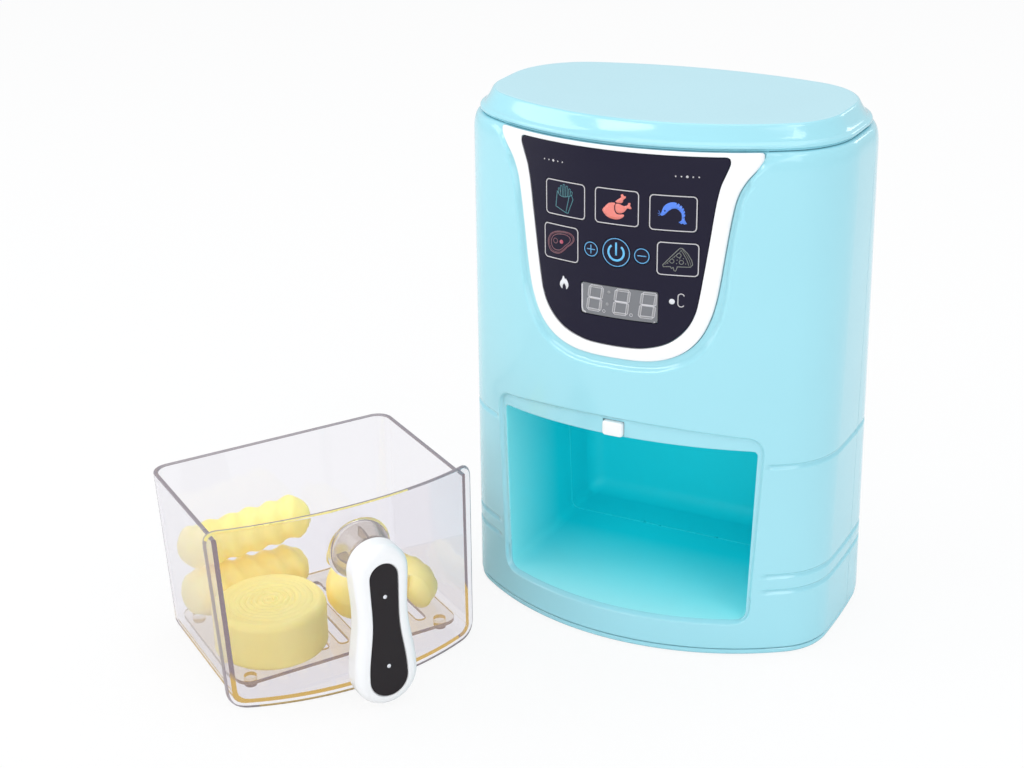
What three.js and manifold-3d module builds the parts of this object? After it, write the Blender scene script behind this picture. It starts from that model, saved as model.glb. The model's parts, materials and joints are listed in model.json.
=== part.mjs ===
// Toy air fryer with a touch panel, a clear pull-out drawer and pretend food.
// Millimetres, +Z up. The panel faces -Y and the origin is the centre of the housing's base.
// The drawer stands on the table in front of the housing, turned towards the viewer.
import * as THREE from 'three';
import { mergeVertices } from 'three/addons/utils/BufferGeometryUtils.js';
import Module from 'manifold-3d';

const wasm = await Module();
wasm.setup();

// Clearances and cutting allowances
const weldDistance = 0.0001;
const overrun = 4;
const gap = 0.3;
const seat = 0.1;
const keyGap = 0.25;
const drawerPlay = 1.3;
const panelPlay = 1;

// Housing outline seen from above, at the base and at the shoulder
const baseHalfWidth = 92;
const baseFront = 66;
const baseRear = 66;
const baseFrontCorner = 30;
const baseRearCorner = 38;
const shoulderHalfWidth = 90.3;
const shoulderFront = 63.4;
const shoulderRear = 57.1;
const shoulderFrontCorner = 40;
const shoulderRearCorner = 44;
const frontBow = 136;
const rearBow = 230;
const sideBow = 413;
const sideCrownY = 9;

// Housing levels and walls
const housingHeight = 250;
const shoulderHeight = 237;
const coverSeam = 1.6;
const plateHeight = 3;
const plateFootInset = 2.1;
const plateEdgeHeight = 0.6;
const plateEdgeInset = 0.9;
const plateRimTop = 6;
const plateRimInset = 4.4;
const shellWall = 2.2;
const rimLedge = 5.7;
const linerWall = 1.8;
const partingY = 9;
const recessDepth = 2;
const frontPlies = recessDepth + shellWall;

// Rounded foot and shoulder of the housing: drops below the shoulder's top, and insets from the side
const footRound = 1;
const shoulderStartDrop = 8;
const shoulderBendDrop = 4;
const shoulderBendInset = 0.6;
const shoulderEdgeDrop = 1.3;
const shoulderEdgeInset = 1.6;
const shoulderTopInset = 3.2;
const hollowStartDrop = 12;
const hollowBendDrop = 6;
const hollowBendInset = 2.8;

// Grooves that run round the sides and the back
const grooveDepth = 1;
const grooveWidth = 2.6;
const grooveStartX = 70;
const grooveHeights = [33.3, 41.3, 96.7];

// Drawer
const tubHalfWidthTop = 61.5;
const tubHalfWidthBottom = 59.4;
const tubRim = 84.3;
const tubLift = 1.8;
const tubLength = 87;
const tubBackDraft = 2.8;
const tubWall = 2;
const tubCorner = 8;
const tubFloorEdge = 4;
const tubFloorBevel = 1;
const panelHalfWidthTop = 65.2;
const panelHalfWidthBottom = 62.6;
const panelCornerHeight = 89;
const panelCrownHeight = 91.7;
const panelThickness = 2.4;
const panelUpperCorner = 7;
const panelLowerCorner = 9;
const panelLean = 1.8;
const drawerX = -96;
const drawerY = -139.9;
const drawerTurn = 56.9;

// Mouth and cavity of the housing, sized round the drawer
const sillHeight = 17.7;
const sillClearance = 0.6;
const mouthHeadroom = 2.7;
const mouthCrown = 2.5;
const mouthLowerCorner = 5;
const mouthUpperCorner = 2;
const lipHeadroom = 4;
const lipCrown = 4;
const cavityDepth = 95;
const cavityDraft = 0.9;
const cavityRise = 1.3;
const cavityCorner = 6;
const cavityBackCorner = 2;
const cavityBackEdge = 8;
const cavityEdgeShare = 0.3;
const webThickness = 2;
const webY = 38;

// Control panel
const bezelHalfWidth = 61.5;
const bezelTop = 238.2;
const bezelBottom = 144.6;
const overlayHalfWidth = 48;
const overlayTop = 236.7;
const overlayBottom = 151;
const bezelDepth = 0.4;
const overlayDepth = 0.7;
const panelPlyBack = recessDepth - gap;
const panelMargin = 5.5;
const pocketMargin = 2;
const displayHalfWidth = 17.8;
const displayTop = 176.3;
const displayBottom = 162.8;
const displayCorner = 1.2;
const displayLedge = 1.2;

// Touch keys
const keyTravel = 0.5;
const keyFlange = 0.45;
const keyFlangeThickness = 1;
const keyPostRadius = 1.6;
const keyCorner = 2;
const keySwitchGap = 0.7;
const powerRadius = 7.3;
const smallKeyRadius = 3.8;
const smallKeyX = 12.4;
const upperRow = 212.7;
const lowerRow = 192.4;
const upperKeyHalfWidth = 9.9;
const upperKeyHalfHeight = 7.2;
const lowerKeyHalfWidth = 8.6;
const lowerKeyHalfHeight = 7;
const upperKeyX = 25.4;
const lowerKeyX = 27.4;

// Circuit board
const boardFaceY = -49;
const boardThickness = 1.6;
const boardHalfWidth = 42;
const boardTop = 231;
const boardBottom = 151;
const boardCorner = 4;
const tactSize = 6;
const tactHeight = 3.5;
const tactPlungerHeight = 5;
const tactPlungerRadius = 1.75;
const boardPostRadius = 3.2;
const boardScrewX = 38;
const lowerBoardScrewX = 26.6;
const boardScrewInset = 4;
const boardScrewHead = 2.4;
const boardHeadHeight = 1.4;
const chipRadius = 7;
const chipTopRadius = 4.2;
const chipHeight = 1.6;
const capacitorRadius = 2.5;
const capacitorHeight = 7;
const capacitorX = 22.8;
const capacitorInset = 12;
const moduleGap = 0.9;

// Screws
const screwRadius = 1.25;
const pilotRadius = 1.6;
const screwHeadRadius = 2.9;
const screwHeadHeight = 2;
const smallScrewRadius = 1;
const smallPilotRadius = 1.3;
const frontPostRadius = 4;
const rearPostRadius = 5;
const wellRadius = 3.4;
const wellFloorY = 22;
const shellScrewReach = 26;
const sidePostX = 76;
const upperPostX = 74;
const postHeights = [30, 118, 221];
const bossX = 45;
const bossY = 33;
const bossRadius = 3.6;
const baseScrewReach = 11;
const headSink = 0.3;
const baseHeadHeight = 1.2;
const baseHeadRoom = 1.4;
const doorHeadHeight = 1.2;
const doorScrewReach = 10;

// Drawer switch above the mouth
const tabHalfWidth = 5;
const tabBottom = 106.4;
const tabTop = 113.4;
const tabChamfer = 1.4;
const tabTravel = 1.8;
const tabFlange = 1;
const tabFlangeThickness = 1.2;
const tabStemHalfWidth = 2;
const tabStemHeight = 3.5;
const tabStemRise = 0.9;
const tabPlay = 0.45;
const tabUnderPlay = 0.6;
const microHalfWidth = 6.4;
const microHeight = 6.2;
const microLength = 6.4;
const microPlunger = 0.7;
const microFrontY = -53;
const microPadHeight = 108;
const plungerBottom = 1.55;
const plungerTop = 4.65;

// Battery bay, door and cells
const cellRadius = 7.25;
const cellLength = 49.5;
const cellNubRadius = 2.75;
const cellNubLength = 1;
const cellPlay = 0.6;
const cellDoorPlay = 2.4;
const contactRoom = 2.4;
const contactPlate = 0.5;
const contactNub = 1.4;
const contactNubRadius = 2.2;
const contactSize = 11;
const bayHeight = 158;
const bayWall = 1.6;
const doorMargin = 5.5;
const doorCorner = 3;
const doorDepth = 0.3;
const doorThickness = 2;
const doorTabHalfWidth = 6;
const doorTabReach = 4;
const doorTabThickness = 1.5;
const doorTabPlay = 0.6;

// Speaker behind the back grille
const speakerHeight = 213;
const speakerRadius = 14;
const speakerRimThickness = 1.4;
const speakerDepth = 13;
const magnetRadius = 8;
const magnetDepth = 5;
const speakerRing = 1.6;
const speakerRingDepth = 4.3;
const coneFrontRadius = 12.9;
const coneBackRadius = 8.8;
const grilleSlotWidth = 2;
const grilleSlotPitch = 4;
const grilleRadius = 11;
const grilleSideSlots = 2;

// Top cover: its bead, its foot and its slant
const coverBeadHeight = 1.6;
const coverFootHeight = 3.2;
const coverEdgeDrop = 0.6;
const coverRoofDrop = 3.3;
const coverHollowDrop = 8;
const coverLip = 3;
const coverFoot = 4.4;
const coverSlant = 8.4;
const coverFlat = 9.8;
const coverWall = 2.2;
const coverSkirtOffset = 6.1;
const coverSkirtDepth = 6;
const coverSeat = 1.1;
const snapHeight = 1.3;
const snapHalfWidth = 6;
const snapReach = 0.9;
const snapPlay = 0.6;
const snapX = 30;

// Handle
const stemHeight = 70.5;
const stemRootRadius = 14;
const stemTipRadius = 11.4;
const stemWall = 1.8;
const stemEndWall = 2.2;
const stemRibLength = 3;
const stemRibThickness = 0.9;
const handleFrontY = -38.5;
const handleThickness = 12.2;
const handleBottom = 2.5;
const handleTop = 82;
const handleTopRadius = 13;
const handleWaist = 12;
const handleBottomRadius = 15;
const inlayTopRadius = 6.6;
const inlayWaist = 6.2;
const inlayBottomRadius = 9;
const inlayTop = 73.9;
const inlayBottom = 7.8;
const inlayDepth = 0.8;
const inlayThickness = 0.6;
const handleScrewReach = 5;

// Rack and pretend food
const rackTop = 10;
const rackThickness = 2;
const rackHalfWidth = 55;
const rackFrontY = 1.5;
const rackBackY = 79;
const rackCorner = 7;
const rackLegRadius = 3;
const rackSlotWidth = 5;
const rackSlotPitch = 10;
const rackSlotMargin = 9;
const rackSideSlots = 4;
const rollRadius = 26;
const rollHeight = 23.5;
const rollX = -29;
const rollY = 27;
const rollRidge = 0.8;
const rollEdge = 2.2;
const rollTurns = 4;
const logRadius = 12.6;
const logLength = 64;
const logX = -25;
const logY = 67.5;
const logFolds = 6;
const logFoldShare = 0.93;
const logEndShares = [[0.62, 0.2], [0.92, 0.62]];
const topLogRadius = 11;
const topLogLength = 66;
const topLogX = -23.5;
const topLogTilt = 6;
const topLogTurn = -5;
const topLogDrop = 2.2;
const drumRadius = 15;
const drumLength = 52;
const boneRadius = 4.6;
const drumShares = [[0.6, 0.18], [0.94, 0.62], [1, 1], [0.9, 1.5], [0.62, 2]];
const boneShares = [[1.1, 0.69], [1, 0.82], [1.4, 0.91], [1, 1]];
const drumX = 12;
const drumY = 29;
const drumTurn = 10;
const shrimpX = 41;
const shrimpY = 32;
const shrimpBend = 16;
const shrimpRadius = 8;
const shrimpTail = 6;
const shrimpLumps = 6;
const shrimpShares = { sweep: 1.15, start: 0.6, droop: 0.4 };

// Wires
const leadRadius = 0.7;
const leadSpread = 1.3;
const leadBend = 4;
const leadRise = 12;
const batteryLeadX = 14.5;
const speakerLeadX = 16;

// Colours and finishes
const aqua = { color: 0x8fe1ec, roughness: 0.25, metalness: 0 };
const white = { color: 0xf4f4f2, roughness: 0.3, metalness: 0 };
const navy = { color: 0x12142a, roughness: 0.15, metalness: 0 };
const clear = { color: 0xdfe3ea, roughness: 0.05, metalness: 0, transparent: true, opacity: 0.35 };
const steel = { color: 0xb9bcc0, roughness: 0.35, metalness: 1 };
const greenBoard = { color: 0x1f6b3a, roughness: 0.5, metalness: 0 };
const black = { color: 0x1c1c1e, roughness: 0.5, metalness: 0 };
const grey = { color: 0x8d9096, roughness: 0.4, metalness: 0 };
const foodYellow = { color: 0xf3e07a, roughness: 0.4, metalness: 0 };
const redWire = { color: 0xb5281f, roughness: 0.5, metalness: 0 };
const cellGreen = { color: 0x3f7d52, roughness: 0.4, metalness: 0.2 };

// Solids from three.js geometry

function toSolid(geometry) {
  const bare = geometry.clone();
  bare.deleteAttribute('normal');
  bare.deleteAttribute('uv');
  const merged = mergeVertices(bare, weldDistance);
  const corners = merged.index.array;
  const triangles = [];
  for (let i = 0; i < corners.length; i += 3) {
    const [a, b, c] = [corners[i], corners[i + 1], corners[i + 2]];
    if (a !== b && b !== c && c !== a) triangles.push(a, b, c);
  }
  return new wasm.Manifold(new wasm.Mesh({
    numProp: 3,
    vertProperties: new Float32Array(merged.attributes.position.array),
    triVerts: new Uint32Array(triangles),
  }));
}

function toGeometry(solid) {
  const { vertProperties, triVerts } = solid.getMesh();
  const geometry = new THREE.BufferGeometry();
  geometry.setAttribute('position', new THREE.BufferAttribute(vertProperties, 3));
  geometry.setIndex(new THREE.BufferAttribute(triVerts, 1));
  geometry.computeVertexNormals();
  return geometry;
}

function joined(solids) {
  return solids.reduce((sum, solid) => sum.add(solid));
}

function piece(name, solid, finish) {
  const mesh = new THREE.Mesh(toGeometry(solid), new THREE.MeshStandardMaterial(finish));
  mesh.name = name;
  return mesh;
}

function block(x0, x1, y0, y1, z0, z1) {
  const geometry = new THREE.BoxGeometry(x1 - x0, y1 - y0, z1 - z0);
  return toSolid(geometry.translate((x0 + x1) / 2, (y0 + y1) / 2, (z0 + z1) / 2));
}

// A round bar or cone along Y, from its front end to its rear end
function barY(x, z, frontY, rearY, frontRadius, rearRadius = frontRadius, sides = 8) {
  const geometry = new THREE.CylinderGeometry(rearRadius, frontRadius, rearY - frontY, sides);
  return toSolid(geometry.translate(x, (frontY + rearY) / 2, z));
}

function barZ(x, y, bottom, top, radius, sides = 8) {
  const geometry = new THREE.CylinderGeometry(radius, radius, top - bottom, sides);
  return toSolid(geometry.rotateX(Math.PI / 2).translate(x, y, (bottom + top) / 2));
}

// A solid of rings of points that are stacked from the first ring to the last
function loft(rings) {
  const count = rings[0].length;
  const corners = rings.flat();
  const triangles = [];
  for (let level = 0; level + 1 < rings.length; level += 1) {
    for (let i = 0; i < count; i += 1) {
      const a = level * count + i;
      const b = level * count + ((i + 1) % count);
      triangles.push(a, b, b + count, a, b + count, a + count);
    }
  }
  for (const [level, flip] of [[0, true], [rings.length - 1, false]]) {
    const centre = new THREE.Vector3();
    rings[level].forEach((corner) => centre.add(corner));
    corners.push(centre.divideScalar(count));
    for (let i = 0; i < count; i += 1) {
      const a = level * count + i;
      const b = level * count + ((i + 1) % count);
      triangles.push(corners.length - 1, flip ? b : a, flip ? a : b);
    }
  }
  const geometry = new THREE.BufferGeometry().setFromPoints(corners);
  geometry.setIndex(triangles);
  return toSolid(geometry);
}

// A shape drawn in X and Z, drawn out along Y
function frontPrism(shape, frontY, rearY, curveSegments = 3) {
  const options = { depth: rearY - frontY, bevelEnabled: false, curveSegments };
  const geometry = new THREE.ExtrudeGeometry(shape, options);
  return toSolid(geometry.rotateX(Math.PI / 2).translate(0, rearY, 0));
}

function roundedRect(x0, x1, z0, z1, radius) {
  const shape = new THREE.Shape();
  shape.moveTo(x0 + radius, z0);
  shape.lineTo(x1 - radius, z0);
  shape.absarc(x1 - radius, z0 + radius, radius, -Math.PI / 2, 0);
  shape.lineTo(x1, z1 - radius);
  shape.absarc(x1 - radius, z1 - radius, radius, 0, Math.PI / 2);
  shape.lineTo(x0 + radius, z1);
  shape.absarc(x0 + radius, z1 - radius, radius, Math.PI / 2, Math.PI);
  shape.lineTo(x0, z0 + radius);
  shape.absarc(x0 + radius, z0 + radius, radius, Math.PI, Math.PI * 1.5);
  return shape;
}

function disc(x, z, radius) {
  const shape = new THREE.Shape();
  shape.absarc(x, z, radius, 0, Math.PI * 2);
  return shape;
}

// A four-sided outline with round corners and a top edge that rises to a crown
function archedOutline(halfBottom, halfTop, bottom, cornerTop, crownTop, lowerRadius, upperRadius) {
  const shape = new THREE.Shape();
  shape.moveTo(0, bottom);
  shape.lineTo(halfBottom - lowerRadius, bottom);
  shape.quadraticCurveTo(halfBottom, bottom, halfBottom, bottom + lowerRadius);
  shape.lineTo(halfTop, cornerTop - upperRadius);
  shape.quadraticCurveTo(halfTop, cornerTop, halfTop - upperRadius, cornerTop);
  shape.quadraticCurveTo(0, crownTop * 2 - cornerTop, upperRadius - halfTop, cornerTop);
  shape.quadraticCurveTo(-halfTop, cornerTop, -halfTop, cornerTop - upperRadius);
  shape.lineTo(-halfBottom, bottom + lowerRadius);
  shape.quadraticCurveTo(-halfBottom, bottom, lowerRadius - halfBottom, bottom);
  return shape;
}

// Housing outline

function planAt(z) {
  const share = z / shoulderHeight;
  const between = (low, high) => low + (high - low) * share;
  return {
    halfWidth: between(baseHalfWidth, shoulderHalfWidth),
    front: between(-baseFront, -shoulderFront),
    rear: between(baseRear, shoulderRear),
    frontCorner: between(baseFrontCorner, shoulderFrontCorner),
    rearCorner: between(baseRearCorner, shoulderRearCorner),
  };
}

// Centre of a corner arc that touches both a bow and the side, inside them
function cornerCentre(bowY, bowRadius, sideX, cornerRadius, side) {
  const bow = new THREE.Vector2(0, bowY);
  const flank = new THREE.Vector2(sideX, sideCrownY);
  const reach = bowRadius - cornerRadius;
  const flankReach = sideBow - cornerRadius;
  const between = flank.clone().sub(bow);
  const along = (reach ** 2 - flankReach ** 2 + between.lengthSq()) / (2 * between.length());
  const across = Math.sqrt(reach ** 2 - along ** 2) * side;
  const unit = between.normalize();
  return bow.addScaledVector(unit, along).add(new THREE.Vector2(unit.y, -unit.x).multiplyScalar(across));
}

function arcPoints(centre, radius, from, to, steps) {
  return Array.from({ length: steps }, (_, i) => {
    const angle = from + ((to - from) * i) / steps;
    return new THREE.Vector2(centre.x + radius * Math.cos(angle), centre.y + radius * Math.sin(angle));
  });
}

function angleFrom(centre, target) {
  return Math.atan2(target.y - centre.y, target.x - centre.x);
}

// The outline at one height, drawn in by an offset, from the front round by +X to the back
function planRing(z, offset) {
  const plan = planAt(z);
  const bow = new THREE.Vector2(0, plan.front + frontBow);
  const flank = new THREE.Vector2(plan.halfWidth - sideBow, sideCrownY);
  const back = new THREE.Vector2(0, plan.rear - rearBow);
  const frontCorner = cornerCentre(bow.y, frontBow, flank.x, plan.frontCorner, -1);
  const rearCorner = cornerCentre(back.y, rearBow, flank.x, plan.rearCorner, 1);
  const half = [
    ...arcPoints(bow, frontBow - offset, -Math.PI / 2, angleFrom(bow, frontCorner), 6),
    ...arcPoints(frontCorner, plan.frontCorner - offset, angleFrom(bow, frontCorner),
      angleFrom(flank, frontCorner), 4),
    ...arcPoints(flank, sideBow - offset, angleFrom(flank, frontCorner), angleFrom(flank, rearCorner), 2),
    ...arcPoints(rearCorner, plan.rearCorner - offset, angleFrom(flank, rearCorner),
      angleFrom(back, rearCorner), 4),
    ...arcPoints(back, rearBow - offset, angleFrom(back, rearCorner), Math.PI / 2, 4),
    new THREE.Vector2(0, plan.rear - offset),
  ];
  const mirrored = half.slice(1, -1).reverse().map((p) => new THREE.Vector2(-p.x, p.y));
  return [...half, ...mirrored].map((p) => new THREE.Vector3(p.x, p.y, z));
}

// A solid of the housing's outline: each level is a height and an offset inwards
function housingLoft(levels) {
  return loft(levels.map(([z, offset]) => planRing(z, offset)));
}

function housingCore(offset) {
  return housingLoft([[-overrun, offset], [housingHeight + overrun, offset]]);
}

const frontFaceY = (z) => planAt(z).front;
const rearFaceY = (z) => planAt(z).rear;
const bowDip = (x) => frontBow - Math.sqrt(frontBow ** 2 - x ** 2);
const farFront = -baseFront - overrun;
const farRear = baseRear + overrun;

// Closed drawer, which the mouth and its lip are sized by
const closedLift = sillHeight + sillClearance - tubLift;
const mouthHalfTop = tubHalfWidthTop + drawerPlay;
const mouthHalfBottom = tubHalfWidthBottom + drawerPlay;
const mouthCornerTop = closedLift + tubRim + mouthHeadroom;
const mouthTop = mouthCornerTop + mouthCrown;
const chordDip = bowDip(mouthHalfTop);
const cavityFrontY = chordDip - baseFront;
const cavityBackY = cavityFrontY + cavityDepth;

function mouthOutline() {
  return archedOutline(mouthHalfBottom, mouthHalfTop, sillHeight, mouthCornerTop, mouthTop,
    mouthLowerCorner, mouthUpperCorner);
}

function lipOutline(grow) {
  const cornerTop = closedLift + panelCornerHeight + lipHeadroom + grow;
  return archedOutline(panelHalfWidthBottom + panelPlay + grow, panelHalfWidthTop + panelPlay + grow,
    closedLift - gap - grow, cornerTop, cornerTop + lipCrown,
    panelLowerCorner, panelUpperCorner);
}

// A ring of the cavity in X and Z at one depth, drawn in by an inset
function cavityRing(y, inset) {
  const share = (y - cavityFrontY) / cavityDepth;
  const halfTop = mouthHalfTop - cavityDraft * share - inset;
  const halfBottom = mouthHalfBottom - cavityDraft * share - inset;
  const bottom = sillHeight + cavityRise * share + inset;
  const top = mouthTop - cavityRise * share - inset;
  const corner = Math.max(cavityCorner - inset, cavityBackCorner);
  const shape = archedOutline(halfBottom, halfTop, bottom, top, top, corner, corner);
  return shape.getPoints(3).slice(0, -1).map((p) => new THREE.Vector3(p.x, y, p.y));
}

function cavitySolid(grow) {
  const bend = cavityBackEdge * cavityEdgeShare;
  const rings = [
    cavityRing(farFront, -grow),
    cavityRing(cavityBackY - cavityBackEdge, -grow),
    cavityRing(cavityBackY - bend + grow * (1 - cavityEdgeShare), bend - grow),
    cavityRing(cavityBackY + grow, cavityBackEdge - grow),
  ];
  return loft(rings.reverse());
}

// Panel outlines: half of each is drawn as curves and mirrored
const flareShares = {
  tip: 0.975, neck: 0.86, shoulder: 0.785, waist: 0.7, hip: 0.48, foot: 0.15,
};
const fallShares = {
  tipMiddle: 0.025, tip: 0.05, tipEnd: 0.065, neck: 0.15, shoulder: 0.3,
  waist: 0.64, lowerWaist: 0.833, hip: 0.93,
};

function shieldOutline(halfWidth, top, bottom, shares, falls) {
  const fall = (share) => top - (top - bottom) * share;
  const half = new THREE.Path();
  half.moveTo(0, top);
  half.lineTo(halfWidth * shares.tip, top);
  half.quadraticCurveTo(halfWidth, top, halfWidth, fall(falls.tipMiddle));
  half.quadraticCurveTo(halfWidth, fall(falls.tip), halfWidth * shares.tip, fall(falls.tipEnd));
  half.quadraticCurveTo(halfWidth * shares.neck, fall(falls.neck), halfWidth * shares.shoulder,
    fall(falls.shoulder));
  half.quadraticCurveTo(halfWidth * (shares.shoulder + shares.waist) / 2,
    fall((falls.shoulder + falls.waist) / 2), halfWidth * shares.waist, fall(falls.waist));
  half.bezierCurveTo(halfWidth * (shares.waist + shares.hip) / 2, fall(falls.lowerWaist),
    halfWidth * shares.hip, bottom, halfWidth * shares.foot, bottom);
  half.lineTo(0, bottom);
  const right = half.getPoints(3).slice(1, -1);
  const left = right.map((p) => new THREE.Vector2(-p.x, p.y)).reverse();
  return [...right, ...left];
}

// The outline moved outwards by a distance, corner by corner
function grown(points, distance) {
  const count = points.length;
  return points.map((p, i) => {
    const before = p.clone().sub(points[(i + count - 1) % count]).normalize();
    const after = points[(i + 1) % count].clone().sub(p).normalize();
    const tangent = before.add(after).normalize();
    return new THREE.Vector2(p.x - tangent.y * distance, p.y + tangent.x * distance);
  });
}

const bezelPoints = shieldOutline(bezelHalfWidth, bezelTop, bezelBottom, flareShares, fallShares);
const overlayFlareShares = {
  tip: 0.975, neck: 0.93, shoulder: 0.875, waist: 0.75, hip: 0.5, foot: 0.18,
};
const overlayFallShares = {
  tipMiddle: 0.02, tip: 0.04, tipEnd: 0.052, neck: 0.12, shoulder: 0.3,
  waist: 0.72, lowerWaist: 0.873, hip: 0.95,
};
const overlayPoints = shieldOutline(overlayHalfWidth, overlayTop, overlayBottom, overlayFlareShares,
  overlayFallShares);

function shapeOf(points) {
  return new THREE.Shape(points);
}

// The recess round the bezel: the bezel's outline grown, and open at its top
function recessPoints(margin) {
  const kept = grown(bezelPoints, margin).filter((p) => p.y < bezelTop - panelMargin);
  const [first, last] = [kept[0], kept[kept.length - 1]];
  return [new THREE.Vector2(first.x, housingHeight), ...kept, new THREE.Vector2(last.x, housingHeight)];
}

// A front piece that follows the housing's bow, between two offsets
function frontSkin(shape, outer, inner) {
  const band = housingCore(outer).subtract(housingCore(inner));
  return frontPrism(shape, farFront, 0).intersect(band);
}

function rearSkin(shape, outer, inner) {
  const band = housingCore(outer).subtract(housingCore(inner));
  return frontPrism(shape, 0, farRear).intersect(band);
}

// Touch keys: the eight places, each with its outline
const upperKeySize = { halfWidth: upperKeyHalfWidth, halfHeight: upperKeyHalfHeight };
const lowerKeySize = { halfWidth: lowerKeyHalfWidth, halfHeight: lowerKeyHalfHeight };
const keyPlaces = [
  { name: 'key_fries', x: -upperKeyX, z: upperRow, ...upperKeySize },
  { name: 'key_roast', x: 0, z: upperRow, ...upperKeySize },
  { name: 'key_shrimp', x: upperKeyX, z: upperRow, ...upperKeySize },
  { name: 'key_steak', x: -lowerKeyX, z: lowerRow, ...lowerKeySize },
  { name: 'key_pizza', x: lowerKeyX, z: lowerRow, ...lowerKeySize },
  { name: 'key_plus', x: -smallKeyX, z: lowerRow, radius: smallKeyRadius },
  { name: 'key_minus', x: smallKeyX, z: lowerRow, radius: smallKeyRadius },
  { name: 'key_power', x: 0, z: lowerRow, radius: powerRadius },
];

function keyShape(key, grow) {
  if (key.radius) return disc(key.x, key.z, key.radius + grow);
  const across = key.halfWidth + grow;
  const up = key.halfHeight + grow;
  return roundedRect(key.x - across, key.x + across, key.z - up, key.z + up, keyCorner + grow);
}

function displayShape(grow) {
  const across = displayHalfWidth + grow;
  return roundedRect(-across, across, displayBottom - grow, displayTop + grow, displayCorner);
}

const tactPlungerTipY = boardFaceY - tactPlungerHeight;
const keyPostTipY = tactPlungerTipY - keySwitchGap;

function keyPiece(key) {
  const cap = frontSkin(keyShape(key, 0), overlayDepth, frontPlies + gap + seat);
  const flangeOffset = frontPlies + gap;
  const flange = frontSkin(keyShape(key, keyFlange), flangeOffset, flangeOffset + keyFlangeThickness);
  const post = barY(key.x, key.z, frontFaceY(key.z) + bowDip(key.x) + frontPlies + gap + seat, keyPostTipY,
    keyPostRadius);
  return piece(key.name, joined([cap, flange, post]), navy);
}

// Screw posts and screws, all along Y
const postPlaces = postHeights.flatMap((z) => [-1, 1].map((side) => {
  const x = z > mouthTop ? upperPostX : sidePostX;
  return { x: x * side, z };
}));

const boardScrewPlaces = [-1, 1].flatMap((side) => [
  { x: side * boardScrewX, z: boardTop - boardScrewInset },
  { x: side * lowerBoardScrewX, z: boardBottom + boardScrewInset },
]);

const bossPlaces = [-1, 1].flatMap((side) => [
  { x: side * bossX, y: -bossY },
  { x: side * bossX, y: bossY },
]);

const bayHalfLength = cellLength / 2 + cellNubLength / 2 + contactRoom;
const bayHalfHeight = cellRadius * 3 + cellPlay * 2;
const doorHalfWidth = bayHalfLength + doorMargin;
const doorHalfHeight = bayHalfHeight + doorMargin;
const doorInnerY = rearFaceY(bayHeight) - doorDepth - doorThickness;
const cellY = doorInnerY - cellRadius - cellDoorPlay;
const bayFrontY = cellY - cellRadius - cellPlay;
const doorScrewZ = bayHeight - bayHalfHeight - doorMargin / 2;
const doorTabY = doorInnerY - shellWall - doorThickness;

function doorShape(grow) {
  return roundedRect(-doorHalfWidth - grow, doorHalfWidth + grow, bayHeight - doorHalfHeight - grow,
    bayHeight + doorHalfHeight + grow, doorCorner);
}

const speakerRimY = rearFaceY(speakerHeight) - shellWall - gap - bayWall;

// Housing body

function bodyHull() {
  const bottom = plateHeight + gap;
  return housingLoft([
    [bottom, gap],
    [bottom + footRound, 0],
    [shoulderHeight - shoulderStartDrop, 0],
    [shoulderHeight - shoulderBendDrop, shoulderBendInset],
    [shoulderHeight - shoulderEdgeDrop, shoulderEdgeInset],
    [shoulderHeight, shoulderTopInset],
  ]);
}

function bodyHollow() {
  return housingLoft([
    [-overrun, shellWall],
    [shoulderHeight - hollowStartDrop, shellWall],
    [shoulderHeight - hollowBendDrop, hollowBendInset],
    [shoulderHeight - shellWall - gap, frontPlies],
    [shoulderHeight - shellWall, rimLedge],
    [shoulderHeight + overrun, rimLedge],
  ]);
}

function groove(z) {
  const low = z - grooveWidth / 2;
  const high = z + grooveWidth / 2;
  const outside = housingLoft([[low, -overrun], [high, -overrun]]);
  const kept = housingLoft([
    [low - overrun, -grooveDepth],
    [low, 0],
    [z, grooveDepth],
    [high, 0],
    [high + overrun, -grooveDepth],
  ]);
  const front = block(-grooveStartX, grooveStartX, farFront - overrun, 0, low - overrun, high + overrun);
  return outside.subtract(kept).subtract(front);
}

function shellPosts() {
  const posts = postPlaces.flatMap(({ x, z }) => [
    barY(x, z, farFront, partingY, frontPostRadius),
    barY(x, z, partingY, farRear, rearPostRadius),
  ]);
  return joined(posts).intersect(housingCore(shellWall / 2));
}

function shellPostHoles() {
  return joined(postPlaces.flatMap(({ x, z }) => [
    barY(x, z, wellFloorY - shellScrewReach - overrun / 2, wellFloorY + overrun, pilotRadius),
    barY(x, z, wellFloorY, farRear, wellRadius),
  ]));
}

function boardPosts() {
  const posts = boardScrewPlaces.map(({ x, z }) => barY(x, z, farFront, boardFaceY - seat, boardPostRadius));
  return joined(posts).intersect(housingCore(recessDepth + shellWall / 2));
}

function boardPostHoles() {
  return joined(boardScrewPlaces.map(({ x, z }) => {
    const startY = frontFaceY(z) + bowDip(x) + recessDepth + shellWall / 2;
    return barY(x, z, startY, boardFaceY + overrun, smallPilotRadius);
  }));
}

function baseBosses() {
  const top = sillHeight + cavityRise / 2;
  return joined(bossPlaces.map(({ x, y }) => barZ(x, y, plateHeight + gap, top, bossRadius)));
}

function baseBossHoles() {
  return joined(bossPlaces.map(({ x, y }) => barZ(x, y, 0, baseScrewReach + gap, pilotRadius)));
}

// Webs that carry the rear half of the cavity in the rear shell
function cavityWebs() {
  const wide = baseHalfWidth + overrun;
  const half = webThickness / 2;
  const low = sillHeight + cavityCorner;
  const high = mouthCornerTop - cavityCorner;
  return joined([
    block(-wide, -tubHalfWidthTop, webY - half, webY + half, low, high),
    block(tubHalfWidthTop, wide, webY - half, webY + half, low, high),
    block(-half, half, cavityBackY, farRear, low, high),
  ]).intersect(housingCore(shellWall / 2));
}

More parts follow.
